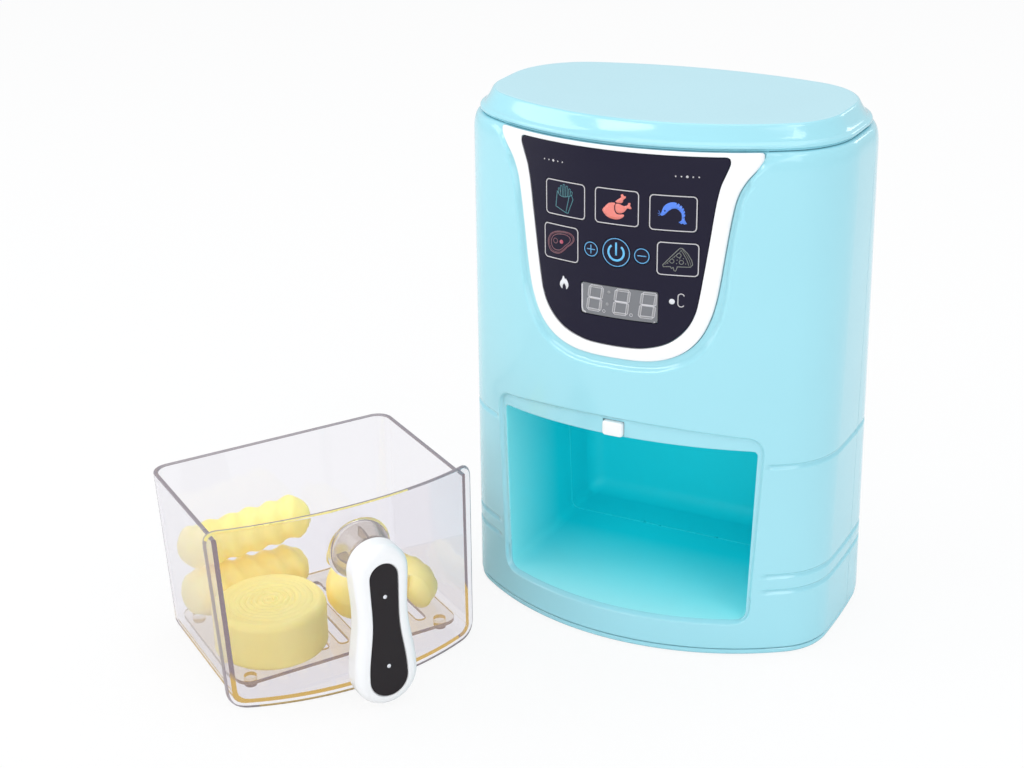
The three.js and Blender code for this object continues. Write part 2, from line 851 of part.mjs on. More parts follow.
function switchPad() {
  const across = microHalfWidth + gap;
  return block(-across, across, microFrontY - gap, microFrontY + microLength + gap, mouthTop - cavityRise,
    microPadHeight);
}

function tabSlot() {
  return block(-tabHalfWidth - gap, tabHalfWidth + gap, farFront, microFrontY - overrun,
    tabBottom - gap, tabTop + gap).subtract(housingCore(frontPlies + seat));
}

function batteryBay() {
  const bay = block(-bayHalfLength - bayWall, bayHalfLength + bayWall, bayFrontY - bayWall, farRear,
    bayHeight - bayHalfHeight - bayWall, bayHeight + bayHalfHeight + bayWall);
  const boss = barY(0, doorScrewZ, bayFrontY, farRear, screwHeadRadius + gap);
  const plate = frontPrism(doorShape(doorThickness), 0, farRear);
  const floor = housingCore(shellWall / 2)
    .subtract(housingCore(doorDepth + doorThickness + gap + shellWall));
  return bay.add(boss).intersect(housingCore(shellWall / 2)).add(plate.intersect(floor));
}

function batteryBayCuts() {
  const room = block(-bayHalfLength, bayHalfLength, bayFrontY, farRear,
    bayHeight - bayHalfHeight, bayHeight + bayHalfHeight);
  const doorRoom = frontPrism(doorShape(gap), 0, farRear)
    .subtract(housingCore(doorDepth + doorThickness + gap));
  const tabRoom = block(-doorTabHalfWidth - gap, doorTabHalfWidth + gap, doorTabY - gap,
    doorTabY + doorTabThickness + doorTabPlay, bayHeight, bayHeight + bayHalfHeight + doorTabReach + gap);
  const screwHole = barY(0, doorScrewZ, bayFrontY + bayWall, farRear, smallPilotRadius);
  return joined([room, doorRoom, tabRoom, screwHole]);
}

function speakerRingWall() {
  const ring = barY(0, speakerHeight, speakerRimY - speakerRingDepth, farRear,
    speakerRadius + gap + speakerRing, undefined, 24);
  const room = barY(0, speakerHeight, 0, farRear, speakerRadius + gap, undefined, 24);
  return ring.subtract(room).intersect(housingCore(shellWall / 2));
}

function grilleSlots() {
  const slots = [];
  for (let slot = -grilleSideSlots; slot <= grilleSideSlots; slot += 1) {
    const x = slot * grilleSlotPitch;
    const half = Math.sqrt(grilleRadius ** 2 - x ** 2);
    slots.push(block(x - grilleSlotWidth / 2, x + grilleSlotWidth / 2, speakerRimY, farRear,
      speakerHeight - half, speakerHeight + half));
  }
  return joined(slots);
}

function housingBody() {
  const hull = bodyHull();
  const skin = hull.subtract(bodyHollow());
  const core = housingCore(frontPlies);
  const backing = hull.intersect(housingCore(gap)).subtract(core);
  const recessFloor = frontPrism(shapeOf(recessPoints(panelMargin + pocketMargin)), farFront, 0)
    .intersect(backing);
  const lipFloor = frontPrism(lipOutline(pocketMargin), farFront, 0).intersect(backing);
  const liner = cavitySolid(linerWall).intersect(housingCore(recessDepth + gap));
  const inside = joined([liner, shellPosts(), boardPosts(), baseBosses(), cavityWebs(), switchPad(),
    batteryBay(), speakerRingWall()]);
  const recessFace = housingCore(recessDepth);
  const cuts = joined([
    frontPrism(shapeOf(recessPoints(panelMargin)), farFront, 0).subtract(recessFace),
    frontPrism(lipOutline(0), farFront, 0).subtract(recessFace),
    frontPrism(mouthOutline(), farFront, 0).subtract(core),
    cavitySolid(0).intersect(housingCore(frontPlies - seat)),
    ...keyPlaces.map((key) => frontPrism(keyShape(key, keyGap), farFront, boardFaceY - overrun)),
    frontPrism(displayShape(-displayLedge), farFront, boardFaceY),
    tabSlot(),
    shellPostHoles(),
    boardPostHoles(),
    baseBossHoles(),
    batteryBayCuts(),
    grilleSlots(),
    ...grooveHeights.map(groove),
  ]);
  return joined([skin, recessFloor, lipFloor, inside]).subtract(cuts);
}

function shells() {
  const body = housingBody();
  const wide = baseHalfWidth + overrun;
  const front = block(-wide, wide, farFront, partingY - gap / 2, 0, housingHeight);
  const rear = block(-wide, wide, partingY + gap / 2, farRear, 0, housingHeight);
  return [
    piece('front_shell', body.intersect(front), aqua),
    piece('rear_shell', body.intersect(rear), aqua),
  ];
}

function topCover() {
  const seam = shoulderHeight + coverSeam;
  const outside = housingLoft([
    [seam, coverLip],
    [seam + coverBeadHeight, coverLip],
    [seam + coverFootHeight, coverFoot],
    [housingHeight - coverEdgeDrop, coverSlant],
    [housingHeight, coverFlat],
  ]);
  const hollow = housingLoft([
    [shoulderHeight - coverHollowDrop, coverSkirtOffset + coverWall],
    [seam + coverBeadHeight, coverSkirtOffset + coverWall],
    [housingHeight - coverRoofDrop, coverSlant + coverWall],
    [housingHeight - coverWall, coverFlat + coverWall],
  ]);
  const skirt = housingLoft([
    [shoulderHeight - coverSkirtDepth, coverSkirtOffset],
    [seam + coverBeadHeight, coverSkirtOffset],
  ]);
  const seating = housingLoft([
    [seam - coverSeat, rimLedge - coverSeat],
    [seam + coverBeadHeight, rimLedge - coverSeat],
  ]);
  const snapTop = shoulderHeight - shellWall - snapPlay;
  const snaps = joined([-1, 1].flatMap((side) => [-snapX, snapX].map((x) => (
    block(x - snapHalfWidth, x + snapHalfWidth, side > 0 ? 0 : farFront, side > 0 ? farRear : 0,
      snapTop - snapHeight, snapTop))))).intersect(housingCore(coverSkirtOffset - snapReach));
  return piece('top_cover', joined([outside, skirt, seating, snaps]).subtract(hollow), aqua);
}

function basePlate() {
  const plate = housingLoft([
    [0, plateFootInset],
    [plateEdgeHeight, plateEdgeInset],
    [plateHeight / 2, gap],
    [plateHeight, gap],
  ]);
  const rim = housingLoft([
    [plateHeight - gap, shellWall + gap],
    [plateRimTop, shellWall + gap],
  ]).subtract(housingLoft([[0, plateRimInset], [plateRimTop + overrun, plateRimInset]]));
  const holes = joined(bossPlaces.flatMap(({ x, y }) => [
    barZ(x, y, -overrun, plateHeight + overrun, pilotRadius),
    barZ(x, y, -overrun, headSink + baseHeadRoom, screwHeadRadius + gap),
  ]));
  return piece('base_plate', plate.add(rim).subtract(holes), aqua);
}

// Control panel pieces

function bezelRing() {
  const ring = frontSkin(shapeOf(bezelPoints), bezelDepth, panelPlyBack);
  const opening = frontPrism(shapeOf(grown(overlayPoints, gap)), farFront, 0);
  return piece('bezel_ring', ring.subtract(opening), white);
}

function controlOverlay() {
  const sheet = frontSkin(shapeOf(overlayPoints), overlayDepth, panelPlyBack);
  const openings = joined([
    ...keyPlaces.map((key) => frontPrism(keyShape(key, keyGap), farFront, 0)),
    frontPrism(displayShape(gap), farFront, 0),
  ]);
  return piece('control_overlay', sheet.subtract(openings), navy);
}

function displayWindow() {
  return piece('display_window', frontSkin(displayShape(0), overlayDepth, panelPlyBack), grey);
}

function displayModule() {
  const frontY = frontFaceY(displayBottom) + bowDip(displayHalfWidth) + frontPlies + moduleGap;
  const body = frontPrism(displayShape(0), frontY, boardFaceY - seat);
  return piece('display_module', body, grey);
}

// Circuit board and what it carries

function boardChip() {
  const backY = boardFaceY + boardThickness;
  const chip = barY(0, (boardTop + boardBottom) / 2, backY - seat, backY + chipHeight, chipRadius,
    chipTopRadius, 16);
  const capacitors = [-1, 1].map((side) => (
    barY(side * capacitorX, boardTop - capacitorInset, backY - seat, backY + capacitorHeight,
      capacitorRadius)));
  return joined([chip, ...capacitors]);
}

function tactSwitches() {
  const half = tactSize / 2;
  return joined(keyPlaces.flatMap(({ x, z }) => [
    block(x - half, x + half, boardFaceY - tactHeight, boardFaceY + seat, z - half, z + half),
    barY(x, z, tactPlungerTipY, boardFaceY - tactHeight + seat, tactPlungerRadius, undefined, 6),
  ]));
}

// The board with its chip, capacitors and switches, which are soldered to it
function mainBoard() {
  const outline = roundedRect(-boardHalfWidth, boardHalfWidth, boardBottom, boardTop, boardCorner);
  const sheet = frontPrism(outline, boardFaceY, boardFaceY + boardThickness);
  const holes = joined(boardScrewPlaces.map(({ x, z }) => (
    barY(x, z, boardFaceY - overrun, boardFaceY + overrun, smallPilotRadius))));
  const board = joined([sheet, boardChip(), tactSwitches()]).subtract(holes);
  return piece('main_board', board, greenBoard);
}

// A screw along Y whose head is at the rear
function screwY(x, z, headY, reach, radius, headRadius, headHeight) {
  return barY(x, z, headY - reach, headY + headHeight / 2, radius)
    .add(barY(x, z, headY, headY + headHeight, headRadius));
}

function screws() {
  const shellScrews = postPlaces.map(({ x, z }) => (
    screwY(x, z, wellFloorY + seat, shellScrewReach, screwRadius, screwHeadRadius, screwHeadHeight)));
  const boardScrews = boardScrewPlaces.map(({ x, z }) => {
    const headY = boardFaceY + boardThickness + seat;
    const reach = headY - (frontFaceY(z) + bowDip(x) + frontPlies - gap);
    return screwY(x, z, headY, reach, smallScrewRadius, boardScrewHead, boardHeadHeight);
  });
  const baseScrews = bossPlaces.map(({ x, y }) => (
    barZ(x, y, headSink, headSink + baseHeadHeight, screwHeadRadius)
      .add(barZ(x, y, headSink + baseHeadHeight / 2, baseScrewReach, screwRadius))));
  return [
    ...shellScrews.map((screw, i) => piece(`shell_screw_${i + 1}`, screw, steel)),
    ...boardScrews.map((screw, i) => piece(`board_screw_${i + 1}`, screw, steel)),
    ...baseScrews.map((screw, i) => piece(`base_screw_${i + 1}`, screw, steel)),
  ];
}

// Drawer switch

const tabFrontY = frontFaceY(tabTop);
const tabFlangeY = frontFaceY(tabBottom) + frontPlies + tabPlay;
const microTipY = microFrontY - microPlunger;

function drawerSwitchTab() {
  const shape = new THREE.Shape();
  shape.moveTo(tabChamfer - tabHalfWidth, tabBottom);
  shape.lineTo(tabHalfWidth - tabChamfer, tabBottom);
  shape.lineTo(tabHalfWidth, tabBottom + tabChamfer);
  shape.lineTo(tabHalfWidth, tabTop);
  shape.lineTo(-tabHalfWidth, tabTop);
  shape.lineTo(-tabHalfWidth, tabBottom + tabChamfer);
  const cap = frontPrism(shape, tabFrontY, tabFlangeY + seat);
  const flangeBottom = mouthTop + linerWall + gap;
  const flange = block(-tabHalfWidth - tabFlange, tabHalfWidth + tabFlange, tabFlangeY,
    tabFlangeY + tabFlangeThickness, flangeBottom, tabTop + tabFlange + gap);
  const stem = block(-tabStemHalfWidth, tabStemHalfWidth, tabFlangeY, microTipY - tabTravel - gap,
    microPadHeight + tabStemRise, microPadHeight + tabStemRise + tabStemHeight);
  const under = block(-tabHalfWidth - gap, tabHalfWidth + gap, tabFlangeY - tabUnderPlay - tabTravel,
    tabFlangeY + tabFlangeThickness, 0, flangeBottom);
  return piece('drawer_switch_tab', joined([cap.subtract(under), flange, stem]), white);
}

function drawerSwitchBody() {
  const low = microPadHeight + seat;
  const body = block(-microHalfWidth, microHalfWidth, microFrontY, microFrontY + microLength, low,
    low + microHeight);
  const plunger = block(-tabStemHalfWidth, tabStemHalfWidth, microTipY, microFrontY + seat,
    low + plungerBottom, low + plungerTop);
  return piece('drawer_switch_body', body.add(plunger), black);
}

// Batteries, contacts and door

function barX(y, z, leftX, rightX, radius, sides = 16) {
  const geometry = new THREE.CylinderGeometry(radius, radius, rightX - leftX, sides);
  return toSolid(geometry.rotateZ(Math.PI / 2).translate((leftX + rightX) / 2, y, z));
}

const cellHeights = [-1, 0, 1].map((row) => bayHeight + row * (cellRadius * 2 + cellPlay));

function cells() {
  return cellHeights.map((z, i) => {
    const direction = i % 2 === 0 ? 1 : -1;
    const tip = direction * (cellLength + cellNubLength) / 2;
    const ends = [-tip, direction * (cellLength - cellNubLength) / 2];
    const can = barX(cellY, z, Math.min(...ends), Math.max(...ends), cellRadius);
    const nub = barX(cellY, z, Math.min(ends[1], tip), Math.max(ends[1], tip), cellNubRadius, 10);
    return piece(`battery_${i + 1}`, can.add(nub), cellGreen);
  });
}

// Contact plates: two end plates, and two that link neighbouring cells
const contactPlaces = [
  { name: 'contact_positive', side: 1, rows: [0] },
  { name: 'contact_link_left', side: -1, rows: [0, 1] },
  { name: 'contact_link_right', side: 1, rows: [1, 2] },
  { name: 'contact_negative', side: -1, rows: [2] },
];

function batteryContacts() {
  const half = contactSize / 2;
  const outer = bayHalfLength - seat;
  return contactPlaces.map(({ name, side, rows }) => {
    const heights = rows.map((row) => cellHeights[row]);
    const plate = [side * outer, side * (outer - contactPlate)];
    const nub = [side * (outer - contactPlate / 2), side * (outer - contactPlate - contactNub)];
    const solids = [
      block(Math.min(...plate), Math.max(...plate), cellY - half, cellY + half,
        Math.min(...heights) - half, Math.max(...heights) + half),
      ...heights.map((z) => barX(cellY, z, Math.min(...nub), Math.max(...nub), contactNubRadius, 6)),
    ];
    return piece(name, joined(solids), steel);
  });
}

function batteryCover() {
  const skin = rearSkin(doorShape(0), doorDepth, doorDepth + doorThickness);
  const tabTopZ = bayHeight + bayHalfHeight + doorTabReach;
  const inBayTop = bayHeight + bayHalfHeight - gap;
  const tab = joined([
    block(-doorTabHalfWidth, doorTabHalfWidth, doorTabY, doorTabY + doorTabThickness,
      inBayTop - doorTabThickness, tabTopZ),
    block(-doorTabHalfWidth, doorTabHalfWidth, doorTabY, doorInnerY + doorThickness / 2,
      inBayTop - doorTabThickness, inBayTop),
  ]);
  const hole = barY(0, doorScrewZ, 0, farRear, smallPilotRadius);
  return piece('battery_cover', skin.add(tab).subtract(hole), aqua);
}

function batteryCoverScrew() {
  const headY = rearFaceY(doorScrewZ) - doorDepth + gap;
  const screw = screwY(0, doorScrewZ, headY, doorScrewReach, smallScrewRadius, boardScrewHead,
    doorHeadHeight);
  return piece('battery_cover_screw', screw, steel);
}

function speaker() {
  const rimFront = speakerRimY - speakerRimThickness;
  const solids = [
    barY(0, speakerHeight, rimFront, speakerRimY, speakerRadius, undefined, 24),
    barY(0, speakerHeight, speakerRimY - speakerDepth + magnetDepth, rimFront + seat, coneBackRadius,
      coneFrontRadius, 24),
    barY(0, speakerHeight, speakerRimY - speakerDepth, speakerRimY - speakerDepth + magnetDepth + seat,
      magnetRadius, undefined, 20),
  ];
  return piece('speaker', joined(solids), black);
}

// Leads between the board, the battery bay, the speaker and the drawer switch

function lead(points, shift) {
  const places = points.map(([x, y, z]) => new THREE.Vector3(x + shift, y, z));
  const section = new THREE.Shape();
  section.absarc(0, 0, leadRadius, 0, Math.PI * 2);
  const extrudePath = new THREE.CatmullRomCurve3(places);
  const options = { steps: 6, bevelEnabled: false, extrudePath, curveSegments: 4 };
  return toSolid(new THREE.ExtrudeGeometry(section, options));
}

function leadPair(name, points) {
  const pair = [-leadSpread / 2, leadSpread / 2].map((shift) => lead(points, shift));
  return piece(name, joined(pair), redWire);
}

function leads() {
  const boardBackY = boardFaceY + boardThickness + leadRadius;
  const bayY = bayFrontY - bayWall - leadRadius;
  const speakerY = speakerRimY - speakerDepth - leadRadius;
  const microTop = microPadHeight + seat + microHeight + leadRadius;
  const microBackY = microFrontY + microLength / 2;
  const midZ = (displayTop + lowerRow) / 2;
  return [
    leadPair('battery_leads', [[batteryLeadX, bayY, bayHeight],
      [batteryLeadX, bayY / 2, bayHeight - cellRadius],
      [batteryLeadX, boardBackY / 2, bayHeight - cellRadius], [batteryLeadX, boardBackY, bayHeight]]),
    leadPair('speaker_leads', [[0, speakerY, speakerHeight],
      [magnetRadius, speakerY / 2, speakerHeight - magnetRadius],
      [speakerLeadX, boardBackY / 2, midZ], [speakerLeadX, boardBackY, midZ]]),
    leadPair('switch_leads', [[0, microBackY, microTop], [0, boardBackY + leadBend, microTop + leadRise],
      [0, boardBackY + leadBend, boardBottom], [0, boardBackY, boardBottom + leadBend]]),
  ];
}

// Drawer, in its own frame: its panel faces -Y and it stands at height zero

// A leaning D-shaped solid whose front is the panel's bow, drawn in by an offset
function drawerCore(offset) {
  const wide = panelHalfWidthTop + overrun;
  const bowed = (z) => {
    const leanShare = z / panelCrownHeight;
    const centre = new THREE.Vector2(0, frontBow - chordDip + panelLean * leanShare);
    const sweep = Math.asin(wide / frontBow);
    const arc = arcPoints(centre, frontBow - offset, -Math.PI / 2 - sweep, -Math.PI / 2 + sweep, 15);
    const last = new THREE.Vector2(0, offset - frontBow)
      .rotateAround(new THREE.Vector2(), sweep)
      .add(centre);
    const rear = [wide, -wide].map((x) => new THREE.Vector2(x, tubLength + overrun));
    return [...arc, last, ...rear].map((p) => new THREE.Vector3(p.x, p.y, z));
  };
  return loft([bowed(-overrun), bowed(panelCrownHeight + overrun)]);
}

// A ring of the tub at one height, drawn in by an inset
function tubRing(z, inset) {
  const share = (z - tubLift) / (tubRim - tubLift);
  const half = tubHalfWidthBottom + (tubHalfWidthTop - tubHalfWidthBottom) * share - inset;
  const back = tubLength - tubBackDraft * (1 - share) - inset;
  const corner = tubCorner - inset / 2;
  const shape = roundedRect(-half, half, -chordDip - tubCorner - overrun, back, corner);
  return shape.getPoints(3).slice(0, -1).map((p) => new THREE.Vector3(p.x, p.y, z));
}

function drawerPanelShape() {
  return archedOutline(panelHalfWidthBottom, panelHalfWidthTop, 0, panelCornerHeight, panelCrownHeight,
    panelLowerCorner, panelUpperCorner);
}

const panelFrontY = (x, z) => bowDip(x) - chordDip + panelLean * (z / panelCrownHeight);
const handleBackY = handleFrontY + handleThickness;

function drawerTub() {
  const front = drawerCore(0).subtract(drawerCore(panelThickness));
  const panel = frontPrism(drawerPanelShape(), -chordDip - overrun, chordDip).intersect(front);
  const outside = loft([
    tubRing(tubLift, tubFloorEdge),
    tubRing(tubLift + tubFloorBevel, tubFloorBevel),
    tubRing(tubLift + tubFloorEdge, 0),
    tubRing(tubRim, 0),
  ]).intersect(drawerCore(panelThickness / 2));
  const inside = loft([
    tubRing(tubLift + tubWall, tubFloorEdge + tubWall / 2),
    tubRing(tubLift + tubWall + tubFloorBevel, tubFloorBevel + tubWall),
    tubRing(tubLift + tubWall + tubFloorEdge, tubWall),
    tubRing(panelCrownHeight + overrun, tubWall),
  ]).intersect(drawerCore(panelThickness));
  const rootY = panelFrontY(0, stemHeight);
  const tipY = handleBackY + gap;
  const sides = 20;
  const stem = barY(0, stemHeight, tipY, rootY + panelThickness / 2, stemTipRadius, stemRootRadius, sides);
  const boreRadius = stemTipRadius - stemWall;
  const hollow = barY(0, stemHeight, tipY + stemEndWall, rootY + panelThickness + seat, boreRadius,
    stemRootRadius - stemWall, sides);
  const ribs = joined([0, 1].map((turn) => {
    const long = stemTipRadius;
    const thin = stemRibThickness / 2;
    const [x, z] = turn ? [thin, long] : [long, thin];
    return block(-x, x, tipY + stemEndWall / 2, rootY, stemHeight - z, stemHeight + z);
  })).subtract(barY(0, stemHeight, tipY, rootY + overrun, boreRadius - stemRibLength, undefined, 16));
  const hole = barY(0, stemHeight, tipY - overrun, rootY, pilotRadius);
  const tub = joined([panel, outside]).subtract(inside);
  return piece('drawer_tub', tub.add(stem).subtract(hollow).add(ribs).subtract(hole), clear);
}

// A long outline with round ends and a waist
function gripOutline(top, bottom, topRadius, waist, bottomRadius) {
  const high = top - topRadius;
  const low = bottom + bottomRadius;
  const middle = (high + low) / 2;
  const pull = (high - low) / 4;
  const shape = new THREE.Shape();
  shape.absarc(0, low, bottomRadius, Math.PI, Math.PI * 2);
  shape.bezierCurveTo(bottomRadius, low + pull, waist, middle - pull / 2, waist, middle + pull / 2);
  shape.bezierCurveTo(waist, middle + pull, topRadius, high - pull / 2, topRadius, high);
  shape.absarc(0, high, topRadius, 0, Math.PI);
  shape.bezierCurveTo(-topRadius, high - pull / 2, -waist, middle + pull, -waist, middle + pull / 2);
  shape.bezierCurveTo(-waist, middle - pull / 2, -bottomRadius, low + pull, -bottomRadius, low);
  return shape;
}

function handleParts() {
  const grip = gripOutline(handleTop, handleBottom, handleTopRadius, handleWaist, handleBottomRadius);
  const inlay = (grow) => gripOutline(inlayTop + grow, inlayBottom - grow, inlayTopRadius + grow,
    inlayWaist + grow, inlayBottomRadius + grow);
  const body = frontPrism(grip, handleFrontY, handleBackY, 6);
  const recess = frontPrism(inlay(gap), handleFrontY - overrun, handleFrontY + inlayDepth, 6);
  const hole = barY(0, stemHeight, handleBackY - handleScrewReach - gap, handleBackY + overrun, pilotRadius);
  const strip = frontPrism(inlay(0), handleFrontY + inlayDepth - inlayThickness - seat,
    handleFrontY + inlayDepth - seat, 6);
  const headY = handleBackY + gap + stemEndWall + seat;
  const screw = screwY(0, stemHeight, headY, handleScrewReach + stemEndWall, screwRadius, screwHeadRadius,
    screwHeadHeight);
  return [
    piece('handle', body.subtract(recess).subtract(hole), white),
    piece('handle_inlay', strip, black),
    piece('handle_screw', screw, steel),
  ];
}

// Rack

function flatPrism(shape, bottom, top, curveSegments = 4) {
  const options = { depth: top - bottom, bevelEnabled: false, curveSegments };
  return toSolid(new THREE.ExtrudeGeometry(shape, options).translate(0, 0, bottom));
}

function crisperRack() {
  const under = rackTop - rackThickness;
  const outline = roundedRect(-rackHalfWidth, rackHalfWidth, rackFrontY, rackBackY, rackCorner);
  const plate = flatPrism(outline, under, rackTop);
  const slots = [];
  for (let slot = -rackSideSlots; slot <= rackSideSlots; slot += 1) {
    const x = slot * rackSlotPitch;
    slots.push(block(x - rackSlotWidth / 2, x + rackSlotWidth / 2, rackFrontY + rackSlotMargin,
      rackBackY - rackSlotMargin, under - overrun, rackTop + overrun));
  }
  const floor = tubLift + tubWall + gap;
  const legs = [-1, 1].flatMap((side) => [rackFrontY + rackCorner, rackBackY - rackCorner].map((y) => (
    barZ(side * (rackHalfWidth - rackCorner), y, floor, under + rackThickness / 2, rackLegRadius))));
  return piece('crisper_rack', joined([plate.subtract(joined(slots)), ...legs]), clear);
}

// Pretend food

const foodFloor = rackTop + gap;

// A solid of revolution whose profile lists radii and heights, from bottom to top
function turned(profile, sides = 16) {
  const points = profile.map(([radius, height]) => new THREE.Vector2(radius, height));
  return new THREE.LatheGeometry(points, sides);
}

function foodRoll() {
  const rings = [];
  for (let turn = rollTurns; turn >= 1; turn -= 1) {
    const radius = (rollRadius * turn) / (rollTurns + 1);
    rings.push([radius + rollRidge, rollHeight], [radius, rollHeight - rollRidge]);
    rings.push([radius - rollRidge, rollHeight]);
  }
  const profile = [[0, 0], [rollRadius - rollEdge, 0], [rollRadius, rollEdge],
    [rollRadius, rollHeight - rollEdge], [rollRadius - rollEdge, rollHeight], ...rings, [0, rollHeight]];
  const geometry = turned(profile).rotateX(Math.PI / 2).translate(rollX, rollY, foodFloor);
  return piece('food_roll', toSolid(geometry), foodYellow);
}

// A log with round ends and a rippled skin, along its own axis and centred on it
function logGeometry(radius, length) {
  const half = length / 2;
  const ends = logEndShares.map(([wide, along]) => [radius * wide, half - radius * along]);
  const straight = length - radius * 2;
  const folds = [];
  for (let i = 0; i <= logFolds; i += 1) {
    folds.push([radius * (i % 2 ? logFoldShare : 1), radius - half + (straight * i) / logFolds]);
  }
  const first = ends.map(([wide, along]) => [wide, -along]);
  const profile = [[0, -half], ...first, ...folds, ...ends.reverse(), [0, half]];
  return turned(profile, 12).rotateZ(-Math.PI / 2);
}

function foodLogs() {
  const low = logGeometry(logRadius, logLength).translate(logX, logY, foodFloor + logRadius);
  const turn = THREE.MathUtils.degToRad(topLogTurn);
  const tilt = THREE.MathUtils.degToRad(topLogTilt);
  const rise = logRadius * 2 + topLogRadius + topLogDrop;
  const high = logGeometry(topLogRadius, topLogLength).rotateY(-tilt).rotateZ(turn)
    .translate(topLogX, logY, foodFloor + rise);
  return [
    piece('food_log', toSolid(low), foodYellow),
    piece('food_top_log', toSolid(high), foodYellow),
  ];
}

function foodDrumstick() {
  const meat = drumShares.map(([wide, along]) => [drumRadius * wide, drumRadius * along]);
  const bone = boneShares.map(([wide, along]) => [boneRadius * wide, drumLength * along]);
  const turn = THREE.MathUtils.degToRad(drumTurn);
  const geometry = turned([[0, 0], ...meat, ...bone, [0, drumLength]]).rotateZ(-turn)
    .translate(drumX, drumY - drumRadius, foodFloor + drumRadius);
  return piece('food_drumstick', toSolid(geometry), foodYellow);
}

function foodShrimp() {
  const solids = [];
  for (let i = 0; i < shrimpLumps; i += 1) {
    const share = i / (shrimpLumps - 1);
    const angle = Math.PI * (share * shrimpShares.sweep - shrimpShares.start);
    const radius = shrimpRadius + (shrimpTail - shrimpRadius) * share;
    const height = foodFloor + radius + (shrimpRadius - radius) * shrimpShares.droop;
    const ball = new THREE.SphereGeometry(radius, 8, 6).rotateX(Math.PI / 2);
    solids.push(toSolid(ball.translate(shrimpX + (shrimpBend * Math.cos(angle)) / 2,
      shrimpY + shrimpBend * Math.sin(angle), height)));
  }
  return piece('food_shrimp', joined(solids), foodYellow);
}

// The whole toy

function housing() {
  const group = new THREE.Group();
  group.add(...shells(), topCover(), basePlate());
  group.add(bezelRing(), controlOverlay(), displayWindow(), displayModule());
  group.add(mainBoard(), ...keyPlaces.map(keyPiece), ...screws());
  group.add(drawerSwitchTab(), drawerSwitchBody(), speaker(), ...leads());
  group.add(...cells(), ...batteryContacts(), batteryCover(), batteryCoverScrew());
  return group;
}

function drawer() {
  const group = new THREE.Group();
  group.add(drawerTub(), ...handleParts(), crisperRack());
  group.add(foodRoll(), ...foodLogs(), foodDrumstick(), foodShrimp());
  group.position.set(drawerX, drawerY, 0);
  group.rotation.z = THREE.MathUtils.degToRad(drawerTurn);
  return group;
}

const toy = new THREE.Group();
toy.add(housing(), drawer());

export default toy;
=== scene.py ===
import json
import math

import bmesh
import bpy
import numpy as np
from mathutils import Matrix, Vector, geometry


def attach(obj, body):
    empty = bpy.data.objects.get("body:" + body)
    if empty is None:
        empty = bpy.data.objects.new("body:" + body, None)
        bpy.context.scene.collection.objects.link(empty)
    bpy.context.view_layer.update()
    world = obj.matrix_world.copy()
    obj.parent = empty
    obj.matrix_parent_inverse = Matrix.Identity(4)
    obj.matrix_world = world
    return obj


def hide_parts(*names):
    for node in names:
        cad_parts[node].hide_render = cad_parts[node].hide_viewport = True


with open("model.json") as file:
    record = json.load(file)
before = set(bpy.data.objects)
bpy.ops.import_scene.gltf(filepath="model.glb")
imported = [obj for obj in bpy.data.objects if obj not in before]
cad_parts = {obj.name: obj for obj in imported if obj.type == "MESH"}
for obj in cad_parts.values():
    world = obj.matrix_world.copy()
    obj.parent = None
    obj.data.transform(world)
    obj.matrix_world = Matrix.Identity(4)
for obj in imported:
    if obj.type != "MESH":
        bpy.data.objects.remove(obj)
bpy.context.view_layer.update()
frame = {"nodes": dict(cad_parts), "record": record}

MM = 0.001

# Housing outline seen from above, in millimetres
BASE_HALF_WIDTH = 91.9
BASE_FRONT = 66
BASE_REAR = 66
BASE_FRONT_CORNER = 30
BASE_REAR_CORNER = 38
SHOULDER_HALF_WIDTH = 91.6
SHOULDER_FRONT = 63.4
SHOULDER_REAR = 57.1
SHOULDER_FRONT_CORNER = 40
SHOULDER_REAR_CORNER = 44
FRONT_BOW = 136
REAR_BOW = 230
SIDE_BOW = 413
SIDE_CROWN_Y = 9
SHOULDER_HEIGHT = 237
SHOULDER_START = 231.6
BODY_BOTTOM = 3.3
FRONT_FLAT = 69
REAR_FLAT = 50
PARTING_GAP = 0.1
WALL = 1.8
SHOULDER_CURVE = 9.5
TOP_RISE = SHOULDER_START + SHOULDER_CURVE + 2.4

# The way round from the flat to the parting line, the corner's share of it, and the flank's least
TAIL = 90.0
ROUND_SHARE = 0.58
SIDE_LEFT = 2.2

# Grooves round the housing, by height
GROOVES = (33.3, 41.3, 96.7)
GROOVE_HALF_WIDTH = 1.6
GROOVE_DEPTH = 1.25
GROOVE_START = 68.4

# Drawer mouth
SILL = 17.7
MOUTH_HALF_BOTTOM = 60.7
MOUTH_HALF_TOP = 62.8
MOUTH_CORNER_TOP = 103.5
MOUTH_CROWN = 106.0
CAVITY_BACK = 44.2
CAVITY_FRONT = -50.7
CAVITY_DRAFT = 0.9
CAVITY_RISE = 1.3
CAVITY_SPLIT = 18.2
LIP_HALF_BOTTOM = 63.6
LIP_HALF_TOP = 66.8
LIP_BOTTOM = 16.2
LIP_TOP = 112.0
LIP_CROWN = 116.4
RECESS_DEPTH = 2.0
MOUTH_ROLL = 0.9
MOUTH_ROLL_REACH = 0.88
LIP_STEP = 2.3
LIP_STEP_AT_SILL = 1.5

